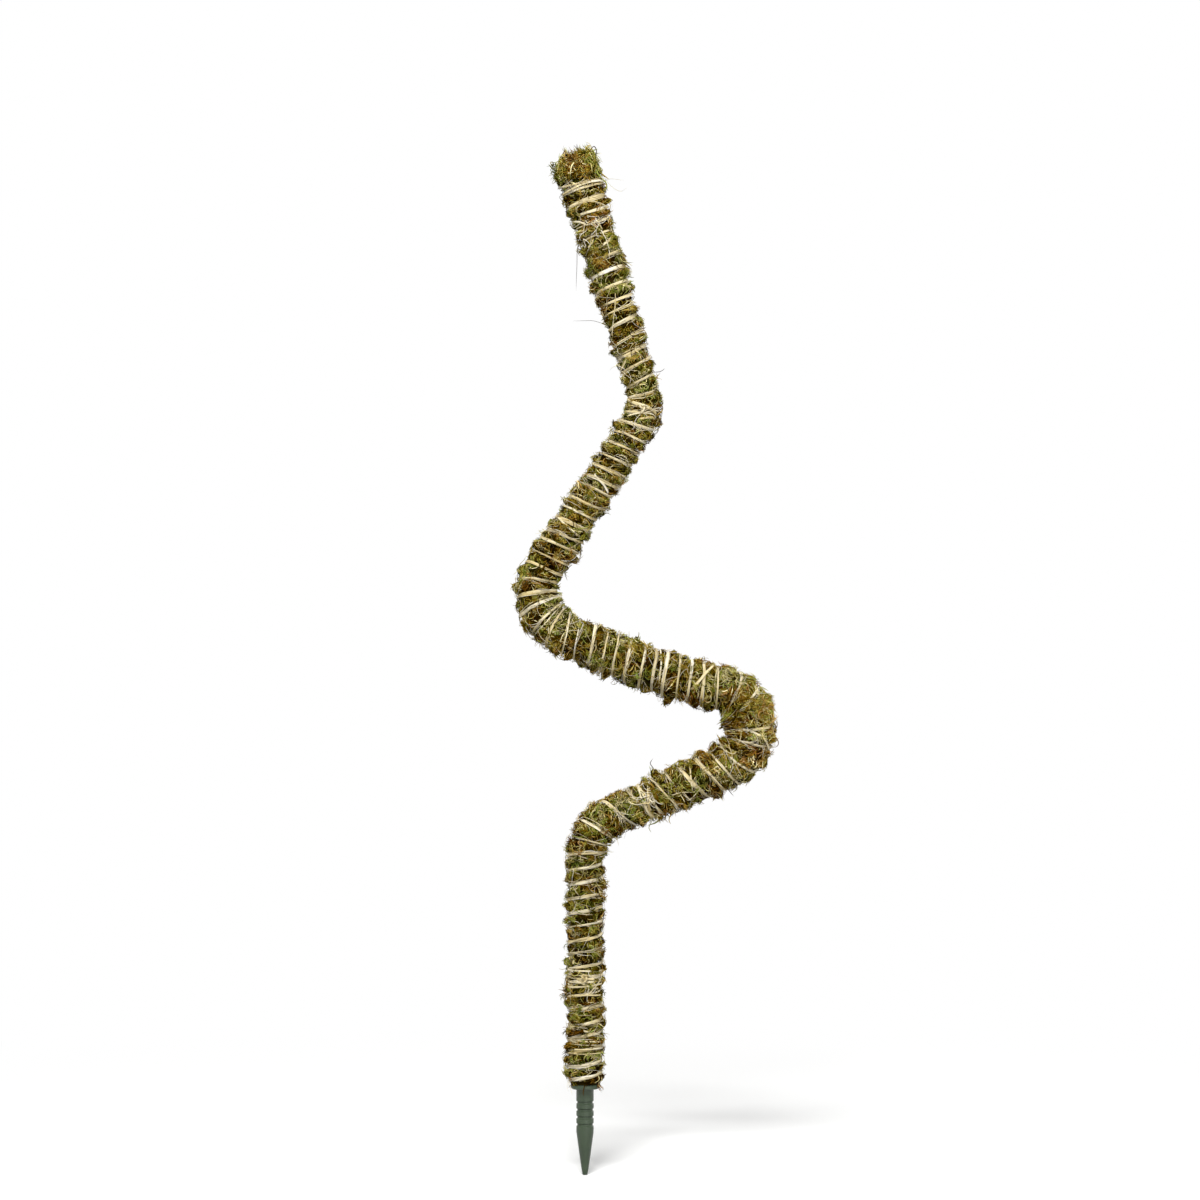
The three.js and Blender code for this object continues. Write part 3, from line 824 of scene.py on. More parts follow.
def lying_paths(distance, angle, way, length, height, lift, turn, loose, rings):
    """Curved paths along the sleeve, each setting out at an angle from upwards, pressed down under raffia."""
    count = len(distance)
    share = np.linspace(0, 1, rings)
    ways = way[:, None] + turn[:, None] * share
    step = length[:, None] / (rings - 1)
    girth = sleeve_radius(distance)[:, None]
    zero = np.zeros((count, 1))
    along = np.concatenate([zero, np.cumsum(step * np.cos(ways[:, :-1]), 1)], 1)
    around = np.concatenate([zero, np.cumsum(step * np.sin(ways[:, :-1]), 1)], 1) / girth
    distances = distance[:, None] + along
    angles = angle[:, None] + around
    heights = height[:, None] + lift[:, None] * share ** 1.4
    held = drawn_in(distances, angles) * np.where(loose, 0.0, 1.0)[:, None]
    nominal = sleeve_radius(distances)
    pressed = nominal - GROOVE_DEPTH + PRESSED_SHARE * np.minimum(heights, 0.5)
    radius = (lumpy_radius(distances, angles) + heights) * (1 - held) + pressed * held
    return place(distances, angles, radius), outward(distances, angles)


def patched(points, patches):
    """The patches' shifts at points, each fading out with the distance from its middle."""
    total = np.zeros(len(points))
    for distance, angle, reach, shift in patches:
        centre = place(np.array(distance), angle, outline_radius(distance, angle))
        away = np.linalg.norm(points - centre, axis=1)
        total += shift * np.exp(-((away / reach) ** 2))
    return total


def tint_at(rng, points, lean):
    """Tint of strands rooted at these points: patches of rust, ochre, olive and green."""
    tint = TINT_MIDDLE + lean + TINT_PATCHES * patch_field(points) + TINT_SPECKLES * speckle_field(points)
    tint += patched(points, PATCHES) + rng.normal(0, TINT_CHANCE, len(points))
    return np.clip(tint, 0.03, 0.97)


def some_straw(rng, tint, share):
    """The same tints, with a share of them pale and dry."""
    return np.where(rng.uniform(size=len(tint)) < share, rng.uniform(*DRY_TINTS, len(tint)), tint)


TAPER = [0, 0.3, 0.75, 1], [0.75, 1.0, 0.75, 0.2]  # share of a strand's length, share of its width


def taper(width, rings):
    return width[:, None] * np.interp(np.linspace(0, 1, rings), *TAPER)


def strand_widths(rng, look, count):
    return taper(rng.uniform(*look.width, count), look.rings)


def lightness(rng, look, count):
    """Light from root to tip, a little different for each strand: dark roots as painted shade deep in the
    moss, light tips as painted highlight.
    """
    root, tip, spread = look.light
    own = rng.normal(0, spread, (count, 1))
    return root + (tip - root) * np.linspace(0, 1, look.rings) + own


def clump_curl(rng, look, own):
    """How far strands curl: a clump's curl and a strand's own, given which clump each strand belongs to."""
    clump_spread, strand_spread = look.curl
    return rng.normal(0, clump_spread, own[-1] + 1)[own] + rng.normal(0, strand_spread, len(own))


def random_ways(rng, count):
    return rng.uniform(0, FULL_TURN, count)


def combed_ways(rng, distance, angle, spread):
    """Ways that strands set out, much alike among neighbours."""
    points = place(distance, angle, sleeve_radius(distance))
    return COMBED_TURN * flow_field(points) + rng.normal(0, spread, len(points))


def lying_strands(rng, look, distance, angle, way):
    """Strands rooted at places on the sleeve, with what a look says of them drawn at random."""
    count = len(distance)
    paths, out = lying_paths(
        distance, angle, way,
        length=rng.uniform(*look.length, count),
        height=rng.uniform(*look.height, count),
        lift=rng.uniform(*look.lift, count),
        turn=np.clip(rng.normal(0, look.turn, count), -MOST_CURL, MOST_CURL),
        loose=rng.uniform(size=count) < look.loose,
        rings=look.rings,
    )
    widths = strand_widths(rng, look, count)
    light = lightness(rng, look, count)
    if hasattr(look, "tint"):
        tint = rng.uniform(*look.tint, count)
    else:
        # Painted light and shade: strands are made lighter or darker where the patches lie
        light += patched(paths[:, 0], PAINTED_LIGHT_AND_SHADE)[:, None]
        tint = some_straw(rng, tint_at(rng, paths[:, 0], look.lean), look.straw)
    return distance, angle, paths, out, widths, tint, light


def spread_strands(rng, name):
    look = MOSS_LAYERS[name]
    distance, angle = surface_roots(rng, look.count)
    return lying_strands(rng, look, distance, angle, combed_ways(rng, distance, angle, look.astray))


def thatch_strands(rng):
    look = MOSS_LAYERS["thatch"]
    count = look.count
    distance = rng.uniform(binding_top + 1, TOP - 4, count)
    return lying_strands(rng, look, distance, random_ways(rng, count), rng.normal(0, look.astray, count))


def tuft_strands(rng):
    """Clumps of strands that fan out together, each clump with its own height, tint and light, darker in the
    hollows between lumps as painted shade.
    """
    tuft_distance, tuft_angle = surface_roots(rng, TUFT.count, TUFT.least_share, on_lumps=True)
    tufts = len(tuft_distance)
    own = np.repeat(np.arange(tufts), TUFT.strands)
    count = len(own)
    girth = sleeve_radius(tuft_distance)
    size = rng.uniform(*TUFT.size, tufts)
    distance = tuft_distance[own] + rng.normal(0, TUFT.spread, count)
    angle = tuft_angle[own] + rng.normal(0, TUFT.spread, count) / girth[own]
    tuft_loose = rng.uniform(size=tufts) < TUFT.loose
    shaggy = rng.choice(SHAGGY_LIFTS, tufts, p=SHAGGY_SHARES)
    ways = combed_ways(rng, tuft_distance, tuft_angle, TUFT.astray)
    paths, out = lying_paths(
        distance, angle, ways[own] + rng.normal(0, 0.35, count),
        length=size[own] * rng.uniform(*TUFT.length, count),
        height=rng.normal(-0.2, 0.3, tufts)[own] + rng.uniform(*TUFT.height, count),
        lift=(size * shaggy)[own] * rng.uniform(*TUFT.lift, count),
        turn=clump_curl(rng, TUFT, own),
        loose=tuft_loose[own] | (rng.uniform(size=count) < 0.04),
        rings=TUFT.rings,
    )
    widths = strand_widths(rng, TUFT, count)
    tuft_points = place(tuft_distance, tuft_angle, girth)
    tint = tint_at(rng, tuft_points, TUFT.lean)[own] + rng.normal(0, 0.08, count)
    # Painted shade: tufts in the hollows are darker and those on the lumps lighter, and the painted light and
    # shade patches are added
    own_light = rng.normal(0, 0.11, tufts) + 0.06 * broad_lumps(tuft_points)
    own_light += patched(tuft_points, PAINTED_LIGHT_AND_SHADE)
    light = lightness(rng, TUFT, count) + own_light[own][:, None]
    return distance, angle, paths, out, widths, some_straw(rng, tint, TUFT.straw), light


def sprig_barbs(rng, stems):
    """Short barbs, on either side in turn, along each sprig's stem."""
    distance, angle, paths, out, _, tint, light = stems
    count, rings, _ = paths.shape
    groups = []
    for barb in range(BARBS):
        share = 0.25 + 0.72 * (barb + 0.5) / BARBS
        ring = share * (rings - 1)
        low = int(ring)
        part = ring - low
        root = paths[:, low] * (1 - part) + paths[:, low + 1] * part
        along = unit(paths[:, low + 1] - paths[:, low])
        side = across_from(along, out[:, low]) * (1 if barb % 2 else -1)
        lean = rng.uniform(0.5, 1.1, (count, 1))
        way = along * np.cos(lean) + side * np.sin(lean) + out[:, low] * rng.uniform(-0.1, 0.45, (count, 1))
        reach = rng.uniform(1.1, 2.2, (count, 1)) * (1.15 - 0.5 * share)
        middle = root + way * reach * 0.5
        tip = root + (way * 0.9 + along * 0.25) * reach
        barb_paths = np.stack([root, middle, tip], 1)
        barb_out = np.repeat(out[:, low:low + 1], 3, axis=1)
        widths = rng.uniform(0.28, 0.5, (count, 1)) * np.array([0.7, 1.0, 0.3])
        # The barbs lighten towards their tips as painted highlight, like the strands
        own_light = light[:, low:low + 1] + np.array([0.0, 0.06, 0.14])
        groups.append((distance, angle, barb_paths, barb_out, widths, tint + 0.03, own_light))
    return [np.concatenate(parts) for parts in zip(*groups)]


def free_paths(rng, roots, ways, length, curl, look):
    """Paths that leave a root along a way, curl about a random axis, and droop."""
    count = len(roots)
    rings = look.rings
    axis = rng.normal(size=(count, 3))
    axis -= ways * (axis * ways).sum(1, keepdims=True)
    axis = unit(axis)
    side = np.cross(axis, ways)
    turned = curl[:, None] * np.linspace(0, 1, rings)
    facing = ways[:, None] * np.cos(turned)[..., None] + side[:, None] * np.sin(turned)[..., None]
    facing[..., 2] -= look.droop * np.linspace(0, 1, rings)
    step = length[:, None, None] / (rings - 1)
    gone = np.concatenate([np.zeros((count, 1, 3)), np.cumsum(facing[:, :-1] * step, 1)], 1)
    return roots[:, None] + gone, np.repeat(axis[:, None], rings, axis=1)


def flyaway_strands(rng):
    """Wisps of a few curls that stand off the sleeve together and roughen its edge."""
    wisp_distance, wisp_angle = np.repeat(WISPS, 3, axis=0).T
    wisps = len(wisp_distance)
    spread, spread_angle = FLYAWAY.spread, FLYAWAY.spread_angle
    clump_distance, clump_angle = surface_roots(rng, FLYAWAY.count)
    clump_distance = np.concatenate([clump_distance, wisp_distance + rng.normal(0, spread, wisps)])
    clump_angle = np.concatenate([clump_angle, wisp_angle + rng.normal(0, spread_angle, wisps)])
    clumps = len(clump_distance)
    own = np.repeat(np.arange(clumps), FLYAWAY.strands)
    count = len(own)
    out = outward(clump_distance, clump_angle)
    up = upward(clump_distance)
    spin = random_ways(rng, clumps)[:, None]
    lean = up * np.cos(spin) + np.cross(up, out) * np.sin(spin) + out * rng.uniform(0.1, 0.8, (clumps, 1))
    ways = unit(unit(lean)[own] + rng.normal(0, 0.4, (count, 3)))
    distance = clump_distance[own] + rng.normal(0, spread, count)
    angle = clump_angle[own] + rng.normal(0, spread_angle, count)
    roots = place(distance, angle, outline_radius(distance, angle) - FLYAWAY.below)
    length = rng.uniform(*FLYAWAY.length, clumps)[own] * rng.uniform(0.6, 1.3, count)
    paths, axis = free_paths(rng, roots, ways, length, clump_curl(rng, FLYAWAY, own), FLYAWAY)
    widths = strand_widths(rng, FLYAWAY, count)
    light = lightness(rng, FLYAWAY, count) + rng.normal(0, 0.12, clumps)[own][:, None]
    tint = tint_at(rng, roots, FLYAWAY.lean)
    return clump_distance[own], clump_angle[own], paths, axis, widths, tint, light


def pick(strands, chosen):
    return tube_mesh(*[part[chosen] for part in strands[2:]])


def triangles_of(strands):
    rings = strands[2].shape[1]
    return 1 + 6 * (rings - 2) + 3


def fibre_piece(name, parts, material):
    points, faces, corners = joined(parts)
    piece = make_piece(name, points, faces, {"Tint": corners, "OFBake": corners}, material)
    return piece


def zone_masks(strands, zone):
    """Which strands belong to a zone, and in which strip of it."""
    distance, angle = strands[0], strands[1]
    inside = (distance >= zone["start"]) & (distance < zone["end"])
    if "curve" not in zone:
        return {None: inside}
    strip = strip_of(zone, angle)
    return {name: inside & (strip == number) for number, name in enumerate(STRIPS)}


def make_fibres(groups, prefix, material):
    for zone in ARMS + HINGES:
        masks = [zone_masks(strands, zone) for strands in groups]
        for strip in masks[0]:
            total = sum(mask[strip].sum() * triangles_of(s) for mask, s in zip(masks, groups))
            if total == 0:
                continue
            shares = math.ceil(total / MOST_IN_PIECE)
            for share in range(shares):
                chosen = [np.flatnonzero(mask[strip])[share::shares] for mask in masks]
                parts = [pick(strands, some) for strands, some in zip(groups, chosen) if len(some)]
                words = [prefix, zone["name"], strip, str(share + 1) if shares > 1 else None]
                piece = fibre_piece("_".join(filter(None, words)), parts, material)
                carry(piece, zone)


# The crown: a lumpy dome that closes the sleeve, and the ragged tuft on it, both lower on the left

CROWN_RIM = SLEEVE_BORE + end_moss[-1] - SHOULDER_DROP - BODY_BELOW
CROWN_DOME = 0.3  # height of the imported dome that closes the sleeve
CROWN_ROOTS = -2.0  # level of the dome's foot, and of the tuft's roots under the dome
CROWN_RINGS = 16
CROWN_COLUMNS = 60
CROWN_LUMP = 0.4
CROWN_RISE = 0.65  # middle of how tall the tuft is from place to place
CROWN_SLOPE = [-8, -1, 3, 8], [0.1, 0.75, 1.0, 0.75]  # right of the middle, share of the full height
crown_centre = place(np.array(TOP), 0.0, CROWN_SHIFT)
crown_right = outward(TOP, 0.0)
crown_up = upward(TOP)
crown_back = np.array([0.0, 1.0, 0.0])


def on_crown(across, back, height):
    across, back, height = np.broadcast_arrays(across, back, height)
    sideways = across[..., None] * crown_right + back[..., None] * crown_back
    return crown_centre + sideways + height[..., None] * crown_up


def crown_height(share, across):
    """Height of the dome over the sleeve's end, from its middle (share 0) to its rim (share 1)."""
    dome = CROWN_DOME * np.sqrt(np.clip(1.02 - share ** 3, 0, 1))
    return dome * np.interp(across, *CROWN_SLOPE)


def make_crown_body():
    angles = np.arange(CROWN_COLUMNS + 1) * FULL_TURN / CROWN_COLUMNS
    share, angle = np.meshgrid(np.linspace(1, 0.03, CROWN_RINGS), angles, indexing="ij")
    across = share * CROWN_RIM * np.cos(angle)
    top = on_crown(across, share * CROWN_RIM * np.sin(angle), crown_height(share, across))
    lumps = CROWN_LUMP * broad_lumps(top) + FINE_LUMP * fine_lumps(top)
    top += lumps[..., None] * crown_up
    foot = on_crown(CROWN_RIM * np.cos(angle[:1]), CROWN_RIM * np.sin(angle[:1]), np.array(CROWN_ROOTS))
    middle = on_crown(np.zeros(angle[:1].shape), np.array(0.0), np.array(CROWN_ROOTS))
    rows = np.concatenate([middle, foot, top, np.repeat(top[-1:, :1], CROWN_COLUMNS + 1, axis=1)])
    index = np.arange(rows.shape[0] * rows.shape[1]).reshape(rows.shape[:2])
    faces = grid_faces(index)
    corners = grid_map(*index.shape)[faces]
    dome = make_piece("crown_body", rows.reshape(-1, 3), faces, {"OFBake": corners}, PACKED_BODY_PAINTED_SHADE)
    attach(dome, "tip")
    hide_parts("moss_crown")


def make_crown_tuft(rng):
    """Ragged clumps that lean every way, taller a little right of the middle."""
    clumps = CROWN_TUFT.count
    own = np.repeat(np.arange(clumps), CROWN_TUFT.strands)
    count = len(own)
    away = np.sqrt(rng.uniform(0, 1.1, clumps))
    around = random_ways(rng, clumps)
    across = away * CROWN_RIM * np.cos(around)
    back = away * CROWN_RIM * np.sin(around)
    height = crown_height(np.minimum(away, 1), across) + CROWN_ROOTS
    root_across = across[own] + rng.normal(0, CROWN_TUFT.spread, count)
    root_back = back[own] + rng.normal(0, CROWN_TUFT.spread, count)
    roots = on_crown(root_across, root_back, height[own])
    out = np.cos(around)[:, None] * crown_right + np.sin(around)[:, None] * crown_back
    lean = crown_up * rng.uniform(-0.1, 0.8, (clumps, 1)) + out * rng.normal(0.15, 0.6, (clumps, 1))
    lean += np.cross(crown_up, out) * rng.normal(0, 0.8, (clumps, 1))
    ways = unit(unit(lean)[own] + rng.normal(0, 0.25, (count, 3)))
    level_places = on_crown(across, back, np.array(0.0))
    rise = np.clip(CROWN_RISE + 0.5 * crown_field(level_places), 0.2, 1.5)
    tall = 1.6 + rng.exponential(1.3, clumps) * (0.3 + 0.8 * np.interp(across, *CROWN_SLOPE))
    length = np.minimum(tall * (0.4 + rise), CROWN_TUFT.longest)[own] * rng.uniform(0.6, 1.3, count)
    paths, axis = free_paths(rng, roots, ways, length, clump_curl(rng, CROWN_TUFT, own), CROWN_TUFT)
    widths = strand_widths(rng, CROWN_TUFT, count)
    # Painted light and shade: the lower clumps of the tuft are darker, the taller ones lighter
    own_light = rng.normal(0, 0.14, clumps) + 0.22 * (rise - CROWN_RISE)
    light = lightness(rng, CROWN_TUFT, count) + own_light[own][:, None]
    tint = tint_at(rng, level_places, CROWN_TUFT.lean)[own] + rng.normal(0, 0.05, count)
    strands = tube_mesh(paths, axis, widths, some_straw(rng, tint, CROWN_TUFT.straw), light)
    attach(fibre_piece("crown_tuft", [strands], MOSS_FIBRE), "tip")


# Single hairs and stems that stand clear of the pole: route (right, back, up), width, tint, light

def smooth_route(points, rings):
    """A path through points, rounded between them."""
    points = np.asarray(points, float)
    padded = np.concatenate([2 * points[:1] - points[1:2], points, 2 * points[-1:] - points[-2:-1]])
    at = np.linspace(0, len(points) - 1, rings)
    low = np.minimum(at.astype(int), len(points) - 2)
    t = (at - low)[:, None]
    before, here, there, after = (padded[low + step] for step in range(4))
    slope_in, slope_out = (there - before) / 2, (after - here) / 2
    cubic = (2 * t**3 - 3 * t**2 + 1) * here + (t**3 - 2 * t**2 + t) * slope_in
    return cubic + (3 * t**2 - 2 * t**3) * there + (t**3 - t**2) * slope_out


DARK, BROWN, GOLD, GREEN, STRAW = 0.02, 0.15, 0.5, 0.7, 0.97
LOOSE_HAIRS = {
    "tip": [
        ([(-1.5, -3, 381), (-3.4, -3, 376), (-3.7, -2.5, 368), (-4.1, -2, 356)], 0.3, DARK, 0.3),
        ([(9.5, -2, 341), (4, -2.5, 342.6), (0, -2.5, 342.7), (-6, -3, 342.5)], 0.22, DARK, 0.3),
        ([(9, -3, 407.4), (12.5, -3, 407.8), (17.9, -3, 407.1)], 0.16, STRAW, 0.35),
        ([(9.5, -4, 407), (13.2, -4, 403.4), (16.6, -4, 402), (19.4, -4, 403.8)], 0.18, STRAW, 0.35),
        ([(31, -3, 319), (34.5, -3, 319.3), (36.8, -3, 320.8)], 0.35, DARK, 0.3),
        ([(-3.2, -3, 417.5), (-3.5, -3, 421.5), (-3.8, -3, 424)], 0.42, DARK, 0.35),
        (
            [(0.5, -3, 417), (3.6, -3, 422.6), (5.3, -3, 421), (4.8, -3.4, 418), (3.4, -3.6, 415.6)],
            0.5, DARK, 0.35,
        ),
        ([(-1.2, -4, 417.5), (0.2, -4, 421), (1.6, -4, 423), (3.2, -4, 422.6)], 0.55, GOLD, 0.6),
        ([(-10.3, -4, 414.5), (-10.2, -4.4, 418.4), (-9.2, -4.4, 421)], 0.7, BROWN, 0.4),
        ([(-7.6, -5, 415.6), (-7, -5.4, 418.6), (-6, -5.4, 420.8)], 0.5, STRAW, 0.5),
        ([(-12.4, -3, 411), (-15, -3, 412.6), (-16.8, -3, 414.6)], 0.7, GREEN, 0.25),
        ([(-12, -4, 412.4), (-13.6, -4, 414.6), (-12, -4, 416.2)], 0.6, GREEN, 0.45),
        ([(-12.6, -3, 409), (-14.8, -3, 411), (-16, -3, 410)], 0.6, GREEN, 0.2),
        ([(6, -3, 411.6), (9, -3, 409.2), (11.2, -3, 407.4)], 0.6, GOLD, 0.5),
        ([(6.4, -4, 409), (9.6, -4, 406), (9.8, -4, 403.4), (8.6, -4, 402)], 0.7, GREEN, 0.6),
        ([(-5.0, -12.0, 414.2), (-6.2, -13.0, 412), (-6.6, -12.8, 408.2)], 1.0, STRAW, 0.6),
        ([(2.6, -10.6, 414), (3.1, -11.4, 412), (3.3, -11.0, 409.6)], 0.7, 0.92, 0.5),
    ],
    "right_link_b": [
        ([(70, -4, 174.5), (74, -4, 177.2), (78.6, -4, 177), (79.6, -4, 174)], 0.5, BROWN, 0.5),
        ([(78, -4, 172), (81, -4, 174.2), (84.4, -4, 172.6)], 0.6, GREEN, 0.6),
    ],
    "right_link_a": [
        ([(84.6, -3, 154), (88, -3, 151), (88.8, -3, 148.2), (87.2, -3, 146.4)], 0.5, BROWN, 0.4),
    ],
    "lower_arm": [
        ([(36.4, -3, 117.5), (35, -3, 114.6), (32.6, -3, 112.2), (28.6, -3, 110.8)], 0.9, GREEN, 0.25),
        ([(31, -3, 113.4), (29.4, -3, 110), (30.4, -3, 107.6)], 0.4, GREEN, 0.5),
        ([(40, -3, 117), (38.6, -3, 113.6), (39.4, -3, 111.4)], 0.5, GOLD, 0.6),
        ([(31.5, -3, 137), (30, -3, 139.4), (31.2, -3, 141.6)], 0.4, DARK, 0.4),
    ],
}


HAIR_RINGS = 14


def make_loose_hairs():
    for body, hairs in LOOSE_HAIRS.items():
        meshes = []
        for route, width, tint, light in hairs:
            path = smooth_route(route, HAIR_RINGS)[None]
            facing = np.broadcast_to(np.array([0.0, -1.0, 0.0]), path.shape)
            widths = taper(np.array([width]), HAIR_RINGS)
            meshes.append(tube_mesh(path, facing, widths, np.array([tint]), np.full((1, HAIR_RINGS), light)))
        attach(fibre_piece(f"loose_hairs_{body}", meshes, MOSS_FIBRE), body)


# Raffia: flat strips with ridges along them

LANES = 6  # points across a strip's face
SIDES = 2 * LANES
RIDGES = (9, 0.5, 1.3)  # steps for each draw, least and most share of the height
EDGES = (5, 0.75, 1.15)  # the same, of the width
FAR_AWAY = 900  # strips lie anywhere within this in their pattern
UNDERSIDE_SHIFT = 1.4  # of the pattern, in strip widths


def wavering(rng, count, every, low, high):
    """Random values along a strip, one drawn for every few steps and joined by straight lines."""
    knots = rng.uniform(low, high, max(3, count // every))
    return np.interp(np.linspace(0, len(knots) - 1, count), np.arange(len(knots)), knots)


def ribbon_bake(count, band, bands):
    """Corners in the bake map: a band for each turn's worth of steps."""
    step = np.repeat(np.arange(count - 1), SIDES)
    lane_at = np.tile(np.arange(SIDES), count - 1)
    u = [(step % RAFFIA_STEPS + more) / RAFFIA_STEPS for more in (0, 1)]
    v = [(band + step // RAFFIA_STEPS + 0.04 + 0.9 * (lane_at + more) / SIDES) / bands for more in (0, 1)]
    pairs = (u[0], v[0]), (u[0], v[1]), (u[1], v[1]), (u[1], v[0])
    return np.stack([np.stack(pair, -1) for pair in pairs], 1)


def ribbon_pattern(rng, points, lane):
    """Corners in the strip's pattern, in millimetres across and along."""
    travelled = np.concatenate([[0], np.cumsum(np.linalg.norm(np.diff(points, axis=0), axis=1))])
    lanes = np.concatenate([lane, lane[::-1] + UNDERSIDE_SHIFT, lane[:1]])
    lane_mm = lanes * RAFFIA_WIDTH + rng.uniform(0, FAR_AWAY)
    grid = np.stack(np.meshgrid(lane_mm, travelled + rng.uniform(0, FAR_AWAY)), -1)
    return grid.reshape(-1, 2)[grid_faces(np.arange(grid.size // 2).reshape(grid.shape[:2]))]


def ribbon_mesh(rng, points, out, width, thickness, band, bands):
    """A closed flat strip along points, its face turned to out. Its bands of the bake map start at band."""
    count = len(points)
    along = np.gradient(points, axis=0)
    across = across_from(along, out)
    lift = across_from(across, along)
    lane = np.linspace(-0.5, 0.5, LANES)
    ridges = np.stack([wavering(rng, count, *RIDGES) for _ in lane], 1)
    dome = (1 - 0.75 * (2 * lane) ** 2) * thickness / 2
    left = width * wavering(rng, count, *EDGES)
    right = width * wavering(rng, count, *EDGES)
    reach = np.where(lane < 0, left[:, None], right[:, None]) * lane
    flat = points[:, None] + across[:, None] * reach[..., None]
    top = flat + lift[:, None] * (dome * ridges)[..., None]
    base = flat - lift[:, None] * dome[:, None]
    rings = np.concatenate([top, base[:, ::-1]], axis=1)
    index = np.arange(count * SIDES).reshape(count, SIDES)
    skin = grid_faces(np.concatenate([index, index[:, :1]], axis=1))
    first, last = index[0], index[-1]
    caps = []
    for i in range(LANES - 1):
        caps.append([first[i], first[SIDES - 1 - i], first[SIDES - 2 - i], first[i + 1]])
        caps.append([last[i], last[i + 1], last[SIDES - 2 - i], last[SIDES - 1 - i]])
    maps = [
        np.concatenate([corners, np.broadcast_to(corners[0], (len(caps), 4, 2))])
        for corners in (ribbon_bake(count, band, bands), ribbon_pattern(rng, points, lane))
    ]
    return rings.reshape(-1, 3), np.concatenate([skin, np.array(caps)]), *maps


def ribbon_piece(name, ribbons):
    points, faces, bake, strip = joined(ribbons)
    piece = make_piece(name, points, faces, {"Strip": strip, "OFBake": bake}, RAFFIA, sharp_deg=70)
    return piece


def raffia_radius(distance, angle):
    """Where a strip lies: it rides over the lumps a little and presses the rest down."""
    nominal = sleeve_radius(distance)
    return nominal + RAFFIA_HEIGHT + RAFFIA_FOLLOW * (lumpy_radius(distance, angle) - nominal)


def laid_ribbon(rng, distance, angle, height, width, thickness, band, bands):
    """A strip laid flat on the sleeve, at a height over where the binding lies."""
    points = place(distance, angle, raffia_radius(distance, angle) + height)
    return ribbon_mesh(rng, points, outward(distance, angle), width, thickness, band, bands)


def turns_between(first_turn, last_turn):
    turn = np.linspace(first_turn, last_turn, int(round((last_turn - first_turn) * RAFFIA_STEPS)) + 1)
    return turn, raffia_distance(turn), BACK + FULL_TURN * turn


def winding_ribbon(rng, first_turn, last_turn, band, bands):
    """The binding from one turn count to another."""
    turn, distance, angle = turns_between(first_turn, last_turn)
    sunk = np.clip(0.9 * knotted(SEED + 10, 3, turn) - 0.9, 0, 1.1) + COVER_DEPTH * covered(distance, angle)
    points = place(distance, angle, raffia_radius(distance, angle) - sunk)
    roll = np.clip(0.3 * knotted(SEED + 6, 3, turn), -0.7, 0.7)
    out = unit(outward(distance, angle) + upward(distance) * np.tan(roll)[:, None])
    width = np.interp(turn, turn_table, width_table) * (1 + WIDTH_CHANGE * knotted(SEED + 5, 3, turn))
    return ribbon_mesh(rng, points, out, np.clip(width, 0.4, 2.4), RAFFIA_THICKNESS, band, bands)


def split_ribbon(rng, first_turn, last_turn, band, bands):
    """A thin strand split off the binding, which runs beside it, crosses it and dips under the moss."""
    turn, distance, angle = turns_between(first_turn, last_turn)
    distance = distance + 1.1 * knotted(SEED + 7, 2, turn)
    sunk = np.clip(1.3 * knotted(SEED + 8, 2, turn) + 0.5, -0.1, 1.5) + COVER_DEPTH * covered(distance, angle)
    width = np.clip(0.45 + 0.13 * knotted(SEED + 9, 3, turn), 0.25, 0.8)
    return laid_ribbon(rng, distance, angle, SPLIT_HEIGHT - sunk, width, SPLIT_THICKNESS, band, bands)


def dive(share, depth, level_share):
    """How far a strip's two ends go down into the moss, with a share of it level between them."""
    return depth * np.clip(np.abs(share - 0.5) * 2 - level_share, 0, 1) / (1 - level_share)


STRAY_MARGIN = 7  # from an arm's ends
STRAY_STEPS = 26
CROSSING_STEPS = 30


def stray_strip(rng, arm, band, bands):
    """A thin strip that leaves one turn, crosses the moss at a slant and dives in further on."""
    share = np.linspace(0, 1, STRAY_STEPS)
    last = min(arm["end"], binding_top - STRAY_MARGIN) - STRAY_MARGIN
    first = rng.uniform(arm["start"] + STRAY_MARGIN, last)
    rise = rng.uniform(2.5, 7.0) * rng.choice([-1, 1])
    sweep = rng.uniform(1.3, 3.4)
    distance = first + rise * (share - 0.5) + 0.4 * np.sin(FULL_TURN * share + rng.uniform(0, 6))
    angle = rng.uniform(0, FULL_TURN) + sweep * share
    height = STRAY_HEIGHT - dive(share, 1.3, 0.8)
    width = np.full(STRAY_STEPS, rng.uniform(0.45, 1.05))
    return laid_ribbon(rng, distance, angle, height, width, STRAY_THICKNESS, band, bands)


def carry_loop(piece):
    """Bakes the place of one turn of raffia at a hinge into its mesh."""
    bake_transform(piece)


